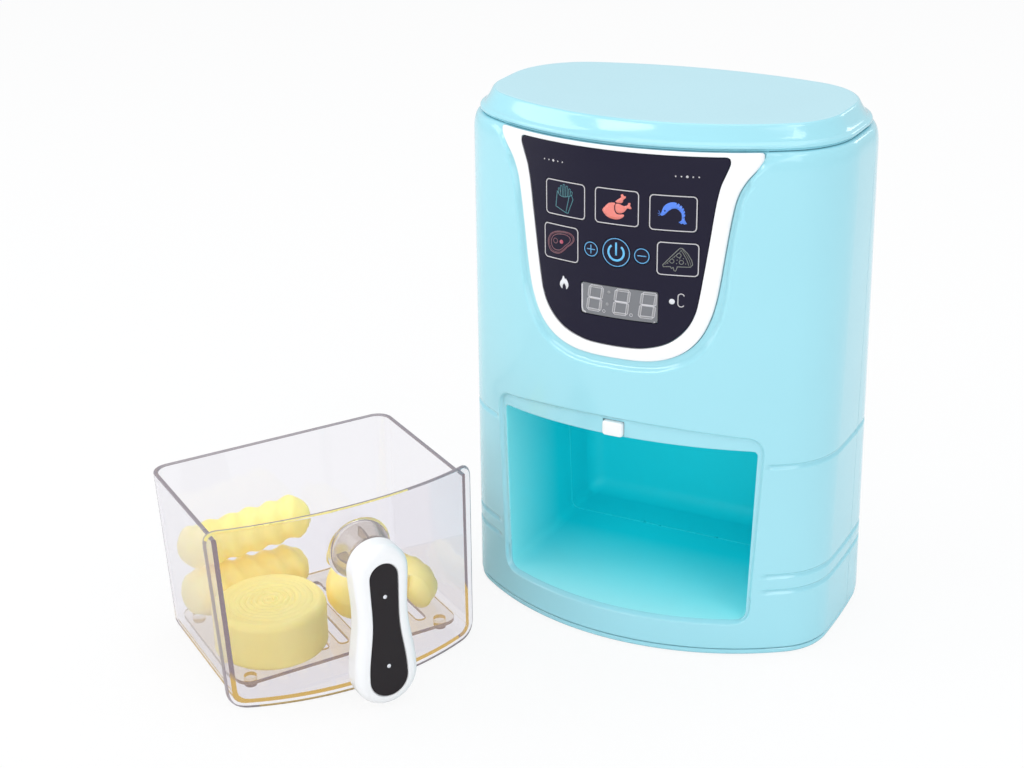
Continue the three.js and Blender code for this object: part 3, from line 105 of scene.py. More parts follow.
# Control panel
BEZEL_TOP = 240.3
BEZEL_BOTTOM = 143.9
BEZEL_EDGE = (
    (61.3, 238.4), (61.0, 236.2), (58.6, 232.2), (54.9, 227.4), (52.2, 222), (50.6, 216), (48.9, 205), (47.5, 194),
    (46.2, 183.6), (44.9, 175), (42.8, 166.5), (39.2, 158.2), (34.2, 152), (27.5, 147.6), (19, 144.9), (10, 144),
)
OVERLAY_TOP = 237.9
OVERLAY_BOTTOM = 150.2
OVERLAY_EDGE = (
    (48.3, 236.4), (48.2, 234.8), (46.8, 231), (44.9, 226), (43.6, 220), (42.7, 214), (41.3, 203), (39.3, 188),
    (37.4, 175), (36, 168.5), (33.2, 162.5), (28.6, 157.2), (22.6, 153.4), (14, 150.9), (7, 150.3),
)
PANEL_MARGIN = 5.5
PANEL_SIDE_MARGIN = 3.7
PANEL_STEP = 3.4
RECESS_SWEEP = (
    (57.6, 227.6), (59.9, 230.6), (63, 232.7), (66.8, 234.2), (72, 235.7), (79, 236.9), (90, 237.9), (104, 238.6),
    (119, 239.1),
)
BEZEL_DEPTH = 0.4

# The slit between the bezel and its seat in the shell
BEZEL_SEAM = 0.36
SEAT_LIP = 0.03
SEAT_DEPTH = 1.3

# How deep the film and its print lie, and the boxes of the display, the tab and their holes
OVERLAY_DEPTH = 0.7
PRINT_DEPTH = 0.66
PANEL_BACK = 1.7
DISPLAY = (-15.8, 20.3, 163.2, 177.5)
DISPLAY_HOLE = (-16.6, 16.6, 164, 175.1)
TAB = (-5, 5, 106.4, 113.4)
TAB_HOLE = (-5.3, 5.3, 106.1, 113.7)
KEY_CORNER = 2
KEY_CLEARANCE = 0.5

# Each key's middle, half width and half height. A round key has a radius and 0
KEYS = {
    "key_fries": (-24.2, 213.6, 10.3, 8.0),
    "key_roast": (1.1, 213.7, 10.3, 8.0),
    "key_shrimp": (26.0, 213.3, 10.2, 7.9),
    "key_steak": (-26.4, 193.4, 9.1, 8.1),
    "key_pizza": (28.4, 193.1, 9.0, 7.5),
    "key_plus": (-11.0, 193.2, 3.5, 0),
    "key_minus": (12.9, 193.2, 3.6, 0),
    "key_power": (1.1, 193.4, 6.7, 0),
}

# Back
DOOR_HOLE = (-33.5, 33.5, 129.2, 186.8)
DOOR = (-33.15, 33.15, 129.55, 186.45)
DOOR_SCREW = (0, 132.3, 1.35)
RIDGES_HEIGHT = 176
GRILLE_HEIGHT = 213
WELLS = [(x * side, z) for x, z in ((76, 30), (74, 118), (74, 221)) for side in (-1, 1)]
WELL_RADIUS = 3.4
WELL_FLOOR = 21.9
WELL_WALL = 1.2
WELL_BOTTOM = 1.3
WELL_STEPS = 32

# Drawer. It stands beside the housing. Its own frame starts midway between its panel's two ends
DRAWER_PLACE = (-96, -139.9)
DRAWER_TURN = math.radians(56.9)
CHORD_DIP = FRONT_BOW - math.sqrt(FRONT_BOW**2 - MOUTH_HALF_TOP**2)
PANEL_LEAN = 1.8
PANEL_CROWN = 91.7
PANEL_THICKNESS = 2.4
TUB_RIM = 84.3
TUB_LIFT = 1.8
TUB_WALL = 2.0
TUB_HALF_WIDTH = 59.4
TUB_FLARE = 2.1
TUB_BACK = 87
TUB_BACK_LEAN = 2.8
TUB_CORNER = 8
STEM_HEIGHT = 70.5
HANDLE_FRONT = -38.5
HANDLE_BACK = -26.3
SCREW_HOLE_RADIUS = 1.6
RACK_TOP = 10.3


# Meshes


def make_piece(name, points, faces, smooth=True):
    """An object from points in millimetres, in the CAD's frame."""
    mesh = bpy.data.meshes.new(name)
    spots = [tuple(np.asarray(p, float) * MM) for p in points]
    mesh.from_pydata(spots, [], [tuple(int(i) for i in f) for f in faces])
    mesh.validate()
    piece = bpy.data.objects.new(name, mesh)
    bpy.context.scene.collection.objects.link(piece)
    if smooth:
        mesh.shade_smooth()
    return piece


def outward(piece, middle=None):
    """Faces that look out of the solid, or away from a middle where the piece is an open skin."""
    shape = bmesh.new()
    shape.from_mesh(piece.data)
    bmesh.ops.remove_doubles(shape, verts=shape.verts, dist=4e-6)
    bmesh.ops.recalc_face_normals(shape, faces=shape.faces)
    away = shape.calc_volume(signed=True)
    if middle is not None:
        centre = Vector(middle) * MM
        away = 0
        for face in shape.faces:
            away += face.calc_area() * face.normal.dot(face.calc_center_median() - centre)
    if away < 0:
        bmesh.ops.reverse_faces(shape, faces=shape.faces)
    shape.to_mesh(piece.data)
    shape.free()
    piece.data.update()
    return piece


def crease(piece, angle=34):
    """Smooth shading that leaves large flats flat and keeps edges sharper than the angle."""
    piece.data.shade_smooth()
    piece.data.set_sharp_from_angle(angle=math.radians(angle))
    flats = piece.modifiers.new("flats", "WEIGHTED_NORMAL")
    flats.keep_sharp = True
    return settle(piece)


def settle(piece):
    """Turns what the modifiers make into the piece's own mesh."""
    view = bpy.context.evaluated_depsgraph_get()
    view.update()
    mesh = bpy.data.meshes.new_from_object(piece.evaluated_get(view), depsgraph=view)
    mesh.name = piece.name
    piece.modifiers.clear()
    piece.data = mesh
    return piece


def carve(piece, tool, operation):
    """Cuts the tool out of the piece, or adds it, and takes the tool away."""
    cut = piece.modifiers.new("cut", "BOOLEAN")
    cut.operation = operation
    cut.solver = "MANIFOLD"
    cut.object = tool
    settle(piece)
    bpy.data.objects.remove(tool)
    return piece


def thicken(piece, wall):
    """Gives a skin a wall on its inner side."""
    skin = piece.modifiers.new("wall", "SOLIDIFY")
    skin.thickness = wall * MM
    skin.offset = -1
    return settle(piece)


def finish_piece(piece, body, material, slot, *nodes):
    """Puts a finished piece on its body, in place of the CAD nodes that it stands for. The slot is not used."""
    if material is not None:
        piece.data.materials.clear()
        piece.data.materials.append(material)
    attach(piece, body)
    if nodes:
        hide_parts(*nodes)
    return piece


def band(a, b, count):
    """Faces between two loops of points. The loops start at the points numbered a and b."""
    return [(a + i, a + (i + 1) % count, b + (i + 1) % count, b + i) for i in range(count)]


def inner_band(a, b, count):
    """The same faces, turned to look the other way."""
    return [(a + i, b + i, b + (i + 1) % count, a + (i + 1) % count) for i in range(count)]


def upright(loop, y):
    """The points of an outline in X and Z, all at one y."""
    return np.column_stack([loop[:, 0], np.full(len(loop), y), loop[:, 1]])


def lying(loop, z):
    """The points of an outline in X and Y, all at one height."""
    return np.column_stack([loop, np.full(len(loop), z)])


# Outlines in two dimensions


def bezier(points, steps):
    points = np.asarray(points, float)
    share = np.linspace(0, 1, steps, endpoint=False)[:, None]
    if len(points) == 3:
        a, b, c = points
        return (1 - share) ** 2 * a + 2 * share * (1 - share) * b + share**2 * c
    a, b, c, d = points
    rest = 1 - share
    return rest**3 * a + 3 * share * rest**2 * b + 3 * share**2 * rest * c + share**3 * d


def smooth_path(points, steps=8, closed=False):
    """A curve through all the points."""
    points = np.asarray(points, float)
    count = len(points)
    path = []
    for i in range(count if closed else count - 1):
        a = points[(i - 1) % count] if closed or i else points[i]
        b, c = points[i], points[(i + 1) % count]
        d = points[(i + 2) % count] if closed or i + 2 < count else c
        share = np.linspace(0, 1, steps, endpoint=False)[:, None]
        bend, twist = 2 * a - 5 * b + 4 * c - d, 3 * b - a - 3 * c + d
        path.append(0.5 * (2 * b + (c - a) * share + bend * share**2 + twist * share**3))
    if not closed:
        path.append(points[-1:])
    return np.vstack(path)


def line(a, b, steps):
    share = np.linspace(0, 1, steps, endpoint=False)[:, None]
    return np.asarray(a, float) * (1 - share) + np.asarray(b, float) * share


def arc(x, z, radius, start, end, steps):
    turn = np.linspace(start, end, steps, endpoint=False)
    return np.column_stack([x + radius * np.cos(turn), z + radius * np.sin(turn)])


def ring_outline(x, z, radius, steps=48):
    return arc(x, z, radius, 0, math.tau, steps)


def rounded_box(x0, x1, z0, z1, radius, corner_steps=8, side_steps=1):
    quarter = math.pi / 2
    return np.vstack([
        line((x0 + radius, z0), (x1 - radius, z0), side_steps),
        arc(x1 - radius, z0 + radius, radius, -quarter, 0, corner_steps),
        line((x1, z0 + radius), (x1, z1 - radius), side_steps),
        arc(x1 - radius, z1 - radius, radius, 0, quarter, corner_steps),
        line((x1 - radius, z1), (x0 + radius, z1), side_steps),
        arc(x0 + radius, z1 - radius, radius, quarter, 2 * quarter, corner_steps),
        line((x0, z1 - radius), (x0, z0 + radius), side_steps),
        arc(x0 + radius, z0 + radius, radius, 2 * quarter, 3 * quarter, corner_steps),
    ])


def arched_outline(half_bottom, half_top, bottom, corner_top, crown, lower, upper):
    """A symmetric outline with an arched top. Lower and upper are the sizes of its corners."""
    shoulders = (half_top - upper, corner_top), (upper - half_top, corner_top)
    arch = bezier([shoulders[0], (0, 2 * crown - corner_top), shoulders[1]], 60)[:31]
    half = np.vstack([
        line((0, bottom), (half_bottom - lower, bottom), 30),
        bezier([(half_bottom - lower, bottom), (half_bottom, bottom), (half_bottom, bottom + lower)], 12),
        line((half_bottom, bottom + lower), (half_top, corner_top - upper), 34),
        bezier([(half_top, corner_top - upper), (half_top, corner_top), (half_top - upper, corner_top)], 10),
        arch,
    ])
    mirrored = half[1:-1][::-1] * (-1, 1)
    return np.vstack([half, mirrored])


def resampled(outline, count):
    """The closed outline with its points spread evenly."""
    closed = np.vstack([outline, outline[:1]])
    reach = np.concatenate([[0], np.cumsum(np.hypot(*np.diff(closed, axis=0).T))])
    wanted = np.linspace(0, reach[-1], count, endpoint=False)
    return np.column_stack([np.interp(wanted, reach, closed[:, i]) for i in (0, 1)])


def grown(outline, distance):
    """The outline moved outwards, or inwards where the distance is below zero."""
    before = outline - np.roll(outline, 1, 0)
    after = np.roll(outline, -1, 0) - outline
    along = before / np.linalg.norm(before, axis=1)[:, None] + after / np.linalg.norm(after, axis=1)[:, None]
    along /= np.linalg.norm(along, axis=1)[:, None]
    return outline + np.column_stack([along[:, 1], -along[:, 0]]) * distance


def shield_outline(edge, top, bottom):
    """The panel's outline from its measured right-hand edge, which runs from the top corner down."""
    corner = edge[0]
    half = np.vstack([
        line((0, top), (corner[0] - 1.7, top), 30),
        bezier([(corner[0] - 1.7, top), (corner[0], top), corner], 5),
        smooth_path(edge, 7),
        line(edge[-1], (0, bottom), 8)[1:],
        [(0, bottom)],
    ])
    left = half[1:-1][::-1] * (-1, 1)
    return np.vstack([half, left])[::-1]


bezel_outline = shield_outline(BEZEL_EDGE, BEZEL_TOP, BEZEL_BOTTOM)
overlay_outline = shield_outline(OVERLAY_EDGE, OVERLAY_TOP, OVERLAY_BOTTOM)
mouth_outline = arched_outline(MOUTH_HALF_BOTTOM, MOUTH_HALF_TOP, SILL, MOUTH_CORNER_TOP, MOUTH_CROWN, 5, 2)
lip_outline = arched_outline(LIP_HALF_BOTTOM, LIP_HALF_TOP, LIP_BOTTOM, LIP_TOP, LIP_CROWN, 9, 10)


def key_outline(name, grow=0.0):
    x, z, half_width, half_height = KEYS[name]
    if not half_height:
        return ring_outline(x, z, half_width + grow, 40)
    wide, tall = half_width + grow, half_height + grow
    return rounded_box(x - wide, x + wide, z - tall, z + tall, KEY_CORNER + grow, 8, 6)


def display_outline(grow=0.0):
    x0, x1, z0, z1 = DISPLAY
    return rounded_box(x0 - grow, x1 + grow, z0 - grow, z1 + grow, 1.2, 5, 14)


def inside(points, outline):
    """Which of the points lie inside the outline."""
    x, z = points[:, 0], points[:, 1]
    within = np.zeros(len(points), bool)
    for (x0, z0), (x1, z1) in zip(outline, np.roll(outline, -1, 0)):
        if z0 == z1:
            continue
        crossed = (z0 > z) != (z1 > z)
        within ^= crossed & (x < x0 + (z - z0) / (z1 - z0) * (x1 - x0))
    return within


def distance_to(points, outline, closed=True):
    """How far each point lies from the outline's line."""
    a = outline if closed else outline[:-1]
    b = np.roll(outline, -1, 0) if closed else outline[1:]
    along = b - a
    length = np.maximum((along**2).sum(1), 1e-12)
    nearest = np.full(len(points), 1e9)
    for start in range(0, len(points), 2000):
        part = points[start : start + 2000, None, :]
        share = np.clip(((part - a) * along).sum(2) / length, 0, 1)
        away = part - (a + along * share[..., None])
        nearest[start : start + 2000] = np.sqrt((away**2).sum(2)).min(1)
    return nearest


def grid_over(outline, step_x, step_z):
    """A grid of spots over the outline's box."""
    low, high = outline.min(0), outline.max(0)
    across, up = np.arange(low[0], high[0], step_x), np.arange(low[1], high[1], step_z)
    return np.array([(x, z) for x in across for z in up])


def ease(share):
    """Runs from 0 to 1 with a soft start and end."""
    share = np.clip(share, 0, 1)
    return share * share * (3 - 2 * share)


def triangulated(points, loops, holes=(), keep=None):
    """Triangles over flat points, following the loops, without what lies in the holes."""
    corners = [tuple(p) for p in points]
    edges = []
    for loop, closed in loops:
        start = len(corners)
        corners.extend(tuple(p) for p in loop)
        count = len(loop)
        edges.extend((start + i, start + (i + 1) % count) for i in range(count if closed else count - 1))
    found = geometry.delaunay_2d_cdt([Vector(c) for c in corners], edges, [], 0, 1e-5, True)
    flat = np.array([tuple(v) for v in found[0]])
    faces = np.array([tuple(f) for f in found[2]])
    fence = {tuple(sorted(edge)) for edge, source in zip(found[1], found[4]) if source}
    patch = patches(faces, fence)
    a, b, c = flat[faces[:, 0]], flat[faces[:, 1]], flat[faces[:, 2]]
    size = np.abs((b[:, 0] - a[:, 0]) * (c[:, 1] - a[:, 1]) - (b[:, 1] - a[:, 1]) * (c[:, 0] - a[:, 0]))
    centres = flat[faces].mean(1)
    order = np.argsort(size)
    largest = np.zeros(patch.max() + 1, int)
    largest[patch[order]] = order
    middles = centres[largest]
    kept = size[largest] > 1e-4
    for hole in holes:
        kept &= ~inside(middles, hole)
    if keep is not None:
        kept &= inside(middles, keep)
    faces = faces[kept[patch]]
    used = np.unique(faces)
    place = np.full(len(flat), -1)
    place[used] = np.arange(len(used))
    return flat[used], place[faces]


def patches(faces, fence):
    """Numbers the faces by the patch that they lie in, where a fence of edges parts the patches."""
    patch = list(range(len(faces)))

    def first(index):
        while patch[index] != index:
            patch[index] = patch[patch[index]]
            index = patch[index]
        return index

    seen = {}
    for index, face in enumerate(faces.tolist()):
        for a, b in zip(face, face[1:] + face[:1]):
            edge = (a, b) if a < b else (b, a)
            if edge in fence:
                continue
            if edge in seen:
                patch[first(index)] = first(seen[edge])
            else:
                seen[edge] = index
    return np.array([first(index) for index in range(len(faces))])


# The housing's surface: across, height and depth below its outline


def plan_at(z):
    """The sizes of the housing's plan at a height."""
    share = np.asarray(z, float) / SHOULDER_HEIGHT
    return {
        "half_width": BASE_HALF_WIDTH + (SHOULDER_HALF_WIDTH - BASE_HALF_WIDTH) * share,
        "front": -BASE_FRONT + (BASE_FRONT - SHOULDER_FRONT) * share,
        "rear": BASE_REAR + (SHOULDER_REAR - BASE_REAR) * share,
        "front_corner": BASE_FRONT_CORNER + (SHOULDER_FRONT_CORNER - BASE_FRONT_CORNER) * share,
        "rear_corner": BASE_REAR_CORNER + (SHOULDER_REAR_CORNER - BASE_REAR_CORNER) * share,
    }


def corner_centre(bow_y, bow_radius, side_x, radius, side):
    """The middle of the corner arc that joins the front's or back's bow to the side's."""
    reach, flank_reach = bow_radius - radius, SIDE_BOW - radius
    gap_x, gap_y = side_x, SIDE_CROWN_Y - bow_y
    apart = np.hypot(gap_x, gap_y)
    along = (reach**2 - flank_reach**2 + apart**2) / (2 * apart)
    across = np.sqrt(reach**2 - along**2) * side
    unit_x, unit_y = gap_x / apart, gap_y / apart
    return unit_x * along + unit_y * across, bow_y + unit_y * along - unit_x * across


def surface(across, z, depth, rear=False):
    """Points of the housing's outline, drawn in by depth. Across is x on the flat of the front or
    back, and runs on from there round the corner to the parting line. TAIL is that last run."""
    across, z, depth = np.broadcast_arrays(*(np.asarray(v, float) for v in (across, z, depth)))
    plan = plan_at(z)
    side = np.where(across < 0, -1.0, 1.0)
    reach = np.abs(across)
    turn = 1.0 if rear else -1.0
    flat = REAR_FLAT if rear else FRONT_FLAT
    bow = (REAR_BOW if rear else FRONT_BOW) - depth
    corner = plan["rear_corner"] if rear else plan["front_corner"]
    bow_y = plan["rear"] - REAR_BOW if rear else plan["front"] + FRONT_BOW
    flank_x = plan["half_width"] - SIDE_BOW
    centre_x, centre_y = corner_centre(bow_y, bow + depth, flank_x, corner, turn)
    corner_start = np.arctan2(centre_x, turn * (centre_y - bow_y))
    corner_end = math.pi / 2 - np.arctan2(turn * (centre_y - SIDE_CROWN_Y), centre_x - flank_x)
    corner = corner - depth
    centre_away = turn * (centre_y - SIDE_CROWN_Y)
    tangent = centre_away + corner * np.cos(corner_end)
    last = np.maximum(tangent, SIDE_LEFT)
    corner_end = np.arccos(np.clip((last - centre_away) / corner, -1, 1))
    within = np.minimum(reach, flat)
    bow_angle = np.arcsin(within / bow)
    on_corner = bow_angle > corner_start
    bend = np.arcsin(np.clip((within - centre_x) / corner, -1, 1))
    bow_left = np.where(on_corner, 0, (corner_start - bow_angle) * bow)
    bend = np.where(on_corner, bend, corner_start)
    tail = np.clip((reach - flat) / TAIL, 0, 1)
    travel = np.minimum(tail / ROUND_SHARE, 1) * (bow_left + (corner_end - bend) * corner)
    bow_angle = bow_angle + np.minimum(travel, bow_left) / bow
    bend = bend + np.maximum(travel - bow_left, 0) / corner
    on_corner = on_corner | (travel > bow_left)
    x = np.where(on_corner, centre_x + corner * np.sin(bend), bow * np.sin(bow_angle))
    y = np.where(on_corner, centre_y + turn * corner * np.cos(bend), bow_y + turn * bow * np.cos(bow_angle))
    share = np.clip((tail - ROUND_SHARE) / (1 - ROUND_SHARE), 0, 1)
    away = last + (PARTING_GAP - last) * share
    on_side = tail > ROUND_SHARE
    side_x = flank_x + np.sqrt((SIDE_BOW - depth) ** 2 - away**2)
    round_x = centre_x + np.sqrt(np.maximum(corner**2 - (away - centre_away) ** 2, 0))
    x = np.where(on_side, np.where(away > tangent, round_x, side_x), x)
    y = np.where(on_side, SIDE_CROWN_Y + turn * away, y)
    return np.stack([x * side, y, z], -1)


def on_front(loop, depth):
    return surface(loop[:, 0], loop[:, 1], depth)


def on_rear(loop, depth):
    return surface(loop[:, 0], loop[:, 1], depth, True)


def shoulder(rise):
    """Height and depth of the rounded shoulder and of the ledge under the cover."""
    rise = np.asarray(rise, float)
    share = np.clip((rise - SHOULDER_START) / SHOULDER_CURVE, 0, 1)
    rest = 1 - share
    a, b, c, d = np.array([(SHOULDER_START, 0), (237.2, 0.25), (239.55, 1.5), (239.6, 3.3)])
    weights = (rest**3, 3 * share * rest**2, 3 * share**2 * rest, share**3)
    curve = [sum(weight * point[i] for weight, point in zip(weights, (a, b, c, d))) for i in (0, 1)]
    ledge = np.clip(rise - SHOULDER_START - SHOULDER_CURVE, 0, None)
    z = np.where(rise <= SHOULDER_START, rise, curve[0])
    foot = 0.7 * (1 - ease((rise - BODY_BOTTOM) / 1.1)) ** 2
    depth = np.where(rise <= SHOULDER_START, foot, curve[1] + ledge)
    return z, depth


def groove_depth(across, rise):
    depth = np.zeros(len(rise))
    started = ease((np.abs(across) - GROOVE_START + 1.6) / 1.6)
    for z in GROOVES:
        share = np.clip(np.abs(rise - z) / GROOVE_HALF_WIDTH, 0, 1)
        depth += GROOVE_DEPTH * np.cos(share * math.pi / 2) ** 1.6 * started
    return depth


def rows():
    """Heights for the shells' grids, closer where the surface bends."""
    plain = list(np.arange(BODY_BOTTOM + 2, SHOULDER_START - 2, 2.2))
    offsets = (-1.9, -1.5, -1.15, -0.8, -0.4, 0, 0.4, 0.8, 1.15, 1.5, 1.9)
    near = [z + offset for z in GROOVES for offset in offsets]
    plain = [z for z in plain if all(abs(z - g) > 2.6 for g in GROOVES)]
    foot = [BODY_BOTTOM + offset for offset in (0, 0.2, 0.5, 0.9, 1.3)]
    top = list(np.linspace(SHOULDER_START - 1, SHOULDER_START + SHOULDER_CURVE, 16)) + [TOP_RISE]
    return np.array(sorted(set(round(v, 4) for v in plain + near + foot + top)))


def columns(flat, step):
    """Places across for the shells' grids, evenly on the flat and closer round the corner."""
    inner = np.linspace(-flat, flat, 2 * round(flat / step) + 1)
    round_corner, on_flank = np.linspace(0.012, ROUND_SHARE, 30), np.linspace(ROUND_SHARE, 1, 9)[1:]
    outer = flat + TAIL * np.concatenate([round_corner, on_flank])
    return np.concatenate([-outer[::-1], inner, outer])


def recess_lines():
    """The soft step round the panel, as lines from its rim down to its floor. It sweeps out along
    the shoulder on both sides."""
    lines = []
    for inwards in (-0.4, 0, 0.4, 0.9, 1.4, 2.0, 2.6, 3.1, 3.6):
        margin = np.interp(bezel_outline[:, 1], (158, 200), (PANEL_MARGIN, PANEL_SIDE_MARGIN))
        outline = grown(bezel_outline, (margin - inwards)[:, None])
        right = outline[(outline[:, 0] > 0) & (outline[:, 1] < 226)]
        right = right[np.argsort(right[:, 1])]
        sweep = np.array(RECESS_SWEEP)
        lean = np.gradient(sweep, axis=0)
        lean /= np.linalg.norm(lean, axis=1)[:, None]
        sweep = sweep + np.column_stack([-lean[:, 1], lean[:, 0]]) * inwards
        last = right[-1]
        sweep = sweep[sweep[:, 1] > last[1] + 0.6]
        side = smooth_path(np.vstack([right[::4], sweep]), 3)
        left = side[::-1] * (-1, 1)
        lines.append(np.vstack([left, side[1:]]))
    return lines


def front_shell():
    """The front shell's skin: a grid that gives way to lines along the recess, the seat of the bezel,
    the lip, the mouth and the holes."""
    across = columns(FRONT_FLAT, 1.7)
    grid = np.array([(u, h) for h in rows() for u in across])
    recess = recess_lines()
    rim = recess[1]
    rim_loop = np.vstack([rim, [(119, TOP_RISE + 5), (-119, TOP_RISE + 5)]])
    lip = resampled(lip_outline, 260)
    mouth = resampled(mouth_outline, 260)
    lip_steps = (-0.3, 0, 0.3, 0.6, 1.0, 1.4, 1.9, 2.4)
    mouth_steps = (0.55, 0.4, 0.25, 0.1, 0)
    narrow = np.interp(lip[:, 1], (22, 30), (0.62, 1.0))[:, None]
    lip_loops = [grown(lip, -step * narrow) for step in lip_steps]
    mouth_loops = [grown(mouth, step * 1.6) for step in mouth_steps]
    near = distance_to(grid, rim, False)
    floor = inside(grid, rim_loop)
    lip_near = distance_to(grid, lip)
    in_lip = inside(grid, lip)
    keep = ~((near < 1.0) & ~floor) & ~((near < 4.4) & floor)
    keep &= ~((lip_near < 0.9) & ~in_lip) & ~((lip_near < 3.0) & in_lip)
    keep &= ~inside(grid, mouth) & (distance_to(grid, mouth) > 1.5)
    edge = (grid[:, 1] <= BODY_BOTTOM + 0.01) | (grid[:, 1] >= TOP_RISE - 0.01)
    seat = resampled(bezel_outline, 300)
    keep &= distance_to(grid, seat) > 0.9
    holes = [key_outline(name, KEY_CLEARANCE)[::2] for name in KEYS]
    holes += [rounded_box(*DISPLAY_HOLE, 1, 3), rounded_box(*TAB_HOLE, 0.4, 3)]
    for hole in holes:
        keep &= distance_to(grid, hole) > 0.5
    loops = [(line_points, False) for line_points in recess]
    loops += [(loop, True) for loop in lip_loops + mouth_loops + holes]
    loops += [(grown(seat, -inset), True) for inset in (SEAT_LIP, BEZEL_SEAM)]
    flat, faces = triangulated(grid[keep | (edge & (near > 0.3))], loops, [mouth, *holes])
    near = distance_to(flat, rim, False) * np.where(inside(flat, rim_loop), 1, -1)
    lip_in = distance_to(flat, lip) * np.where(inside(flat, lip), 1, -1)
    in_seat = distance_to(flat, seat) * np.where(inside(flat, seat), 1, -1)
    z, depth = shoulder(flat[:, 1])
    step = RECESS_DEPTH * ease(near / PANEL_STEP)
    step = step + SEAT_DEPTH * ease((in_seat - SEAT_LIP) / (BEZEL_SEAM - SEAT_LIP))
    lip_step = RECESS_DEPTH * ease(lip_in / np.where(flat[:, 1] < 30, LIP_STEP_AT_SILL, LIP_STEP))
    to_roll = 1 - np.clip(distance_to(flat, mouth) / MOUTH_ROLL_REACH, 0, 1)
    roll = MOUTH_ROLL * (1 - np.sqrt(np.clip(1 - to_roll**2, 0, 1)))
    depth = (depth**4 + step**4) ** 0.25 + lip_step + roll * (lip_in > 0.5)
    depth = depth + groove_depth(flat[:, 0], flat[:, 1]) * (near < -1)
    skin = make_piece("front_shell_skin", surface(flat[:, 0], z, depth), faces)
    inner = make_piece("mouth_walls", *cavity_front(mouth))
    return joined("front_shell_skin", [skin, inner])


def joined(name, pieces):
    """One object with the meshes of all the pieces."""
    shape = bmesh.new()
    for piece in pieces:
        shape.from_mesh(piece.data)
        bpy.data.objects.remove(piece)
    mesh = bpy.data.meshes.new(name)
    shape.to_mesh(mesh)
    shape.free()
    whole = bpy.data.objects.new(name, mesh)
    bpy.context.scene.collection.objects.link(whole)
    mesh.shade_smooth()
    return whole


def cavity_loop(mouth, y, inset=0.0):
    """The drawer room's outline at y. It narrows towards the back."""
    share = (y - CAVITY_FRONT) / (CAVITY_BACK - CAVITY_FRONT)
    middle_z = (SILL + MOUTH_CROWN) / 2
    half_z = (MOUTH_CROWN - SILL) / 2
    squeeze_x = 1 - (CAVITY_DRAFT * share + inset) / MOUTH_HALF_TOP
    squeeze_z = 1 - (CAVITY_RISE * share + inset) / half_z
    return np.column_stack([mouth[:, 0] * squeeze_x, middle_z + (mouth[:, 1] - middle_z) * squeeze_z])


def cavity_front(mouth):
    """The drawer room's walls in the front shell, from the mouth to the parting."""
    count = len(mouth)
    last = CAVITY_SPLIT - PARTING_GAP
    first = on_front(mouth, RECESS_DEPTH + MOUTH_ROLL)
    layers = [first]
    for share in (0.015, 0.04, 0.1, 0.2, 0.4, 0.6, 0.8, 0.97, 1.0):
        y = first[:, 1] + (last - first[:, 1]) * share
        loop = cavity_loop(mouth, last, 0.25 if share == 1.0 else 0.0)
        point = mouth * (1 - share) + loop * share
        layers.append(np.column_stack([point[:, 0], y, point[:, 1]]))
    faces = []
    for level in range(len(layers) - 1):
        faces += inner_band(level * count, (level + 1) * count, count)
    return np.vstack(layers), faces


def rear_cavity():
    """The rear half of the drawer room, rounded at the back, with three notches in its floor."""
    mouth = resampled(mouth_outline, 200)
    count = len(mouth)
    start = CAVITY_SPLIT + PARTING_GAP
    levels = [(start, -0.25), (start + 0.3, 0.3), (24, 0.3), (32, 0.3)]
    quarter = np.linspace(0, math.pi / 2, 9)
    levels += [(CAVITY_BACK - 8 * (1 - math.sin(t)), 0.3 + 8 * (1 - math.cos(t))) for t in quarter]
    layers = [upright(cavity_loop(mouth, y, inset), y) for y, inset in levels]
    faces = []
    for level in range(len(layers) - 1):
        faces += inner_band(level * count, (level + 1) * count, count)
    back = tuple(range((len(layers) - 1) * count, len(layers) * count))
    faces.append(back[::-1])
    piece = make_piece("rear_cavity", np.vstack(layers), faces)
    outward(piece, (0, 20, 62))
    piece.data.flip_normals()
    thicken(piece, WALL)
    for x, width in ((-18.8, 1.6), (-10, 1.1), (21, 1.6)):
        notch = rounded_box(x - width / 2, x + width / 2, start - 1, start + 1.1, 0.4, 4)
        carve(piece, stacked("notch", [lying(notch, z) for z in (17.9, 20.2)]), "DIFFERENCE")
    return crease(piece, 50)


def flank_u(x, z):
    """How far round the back of the housing lies a place that is given by its x."""
    low = np.zeros(len(x))
    high = np.full(len(x), REAR_FLAT + TAIL * ROUND_SHARE)
    target = np.abs(x)
    for _ in range(40):
        middle = (low + high) / 2
        below = np.abs(surface(middle, z, 0, True)[:, 0]) < target
        low, high = np.where(below, middle, low), np.where(below, high, middle)
    return (low + high) / 2 * np.where(x < 0, -1, 1)


def bent_round(circle):
    """A circle in X and Z, with its x given as the way round the back."""
    return np.column_stack([flank_u(circle[:, 0], circle[:, 1]), circle[:, 1]])


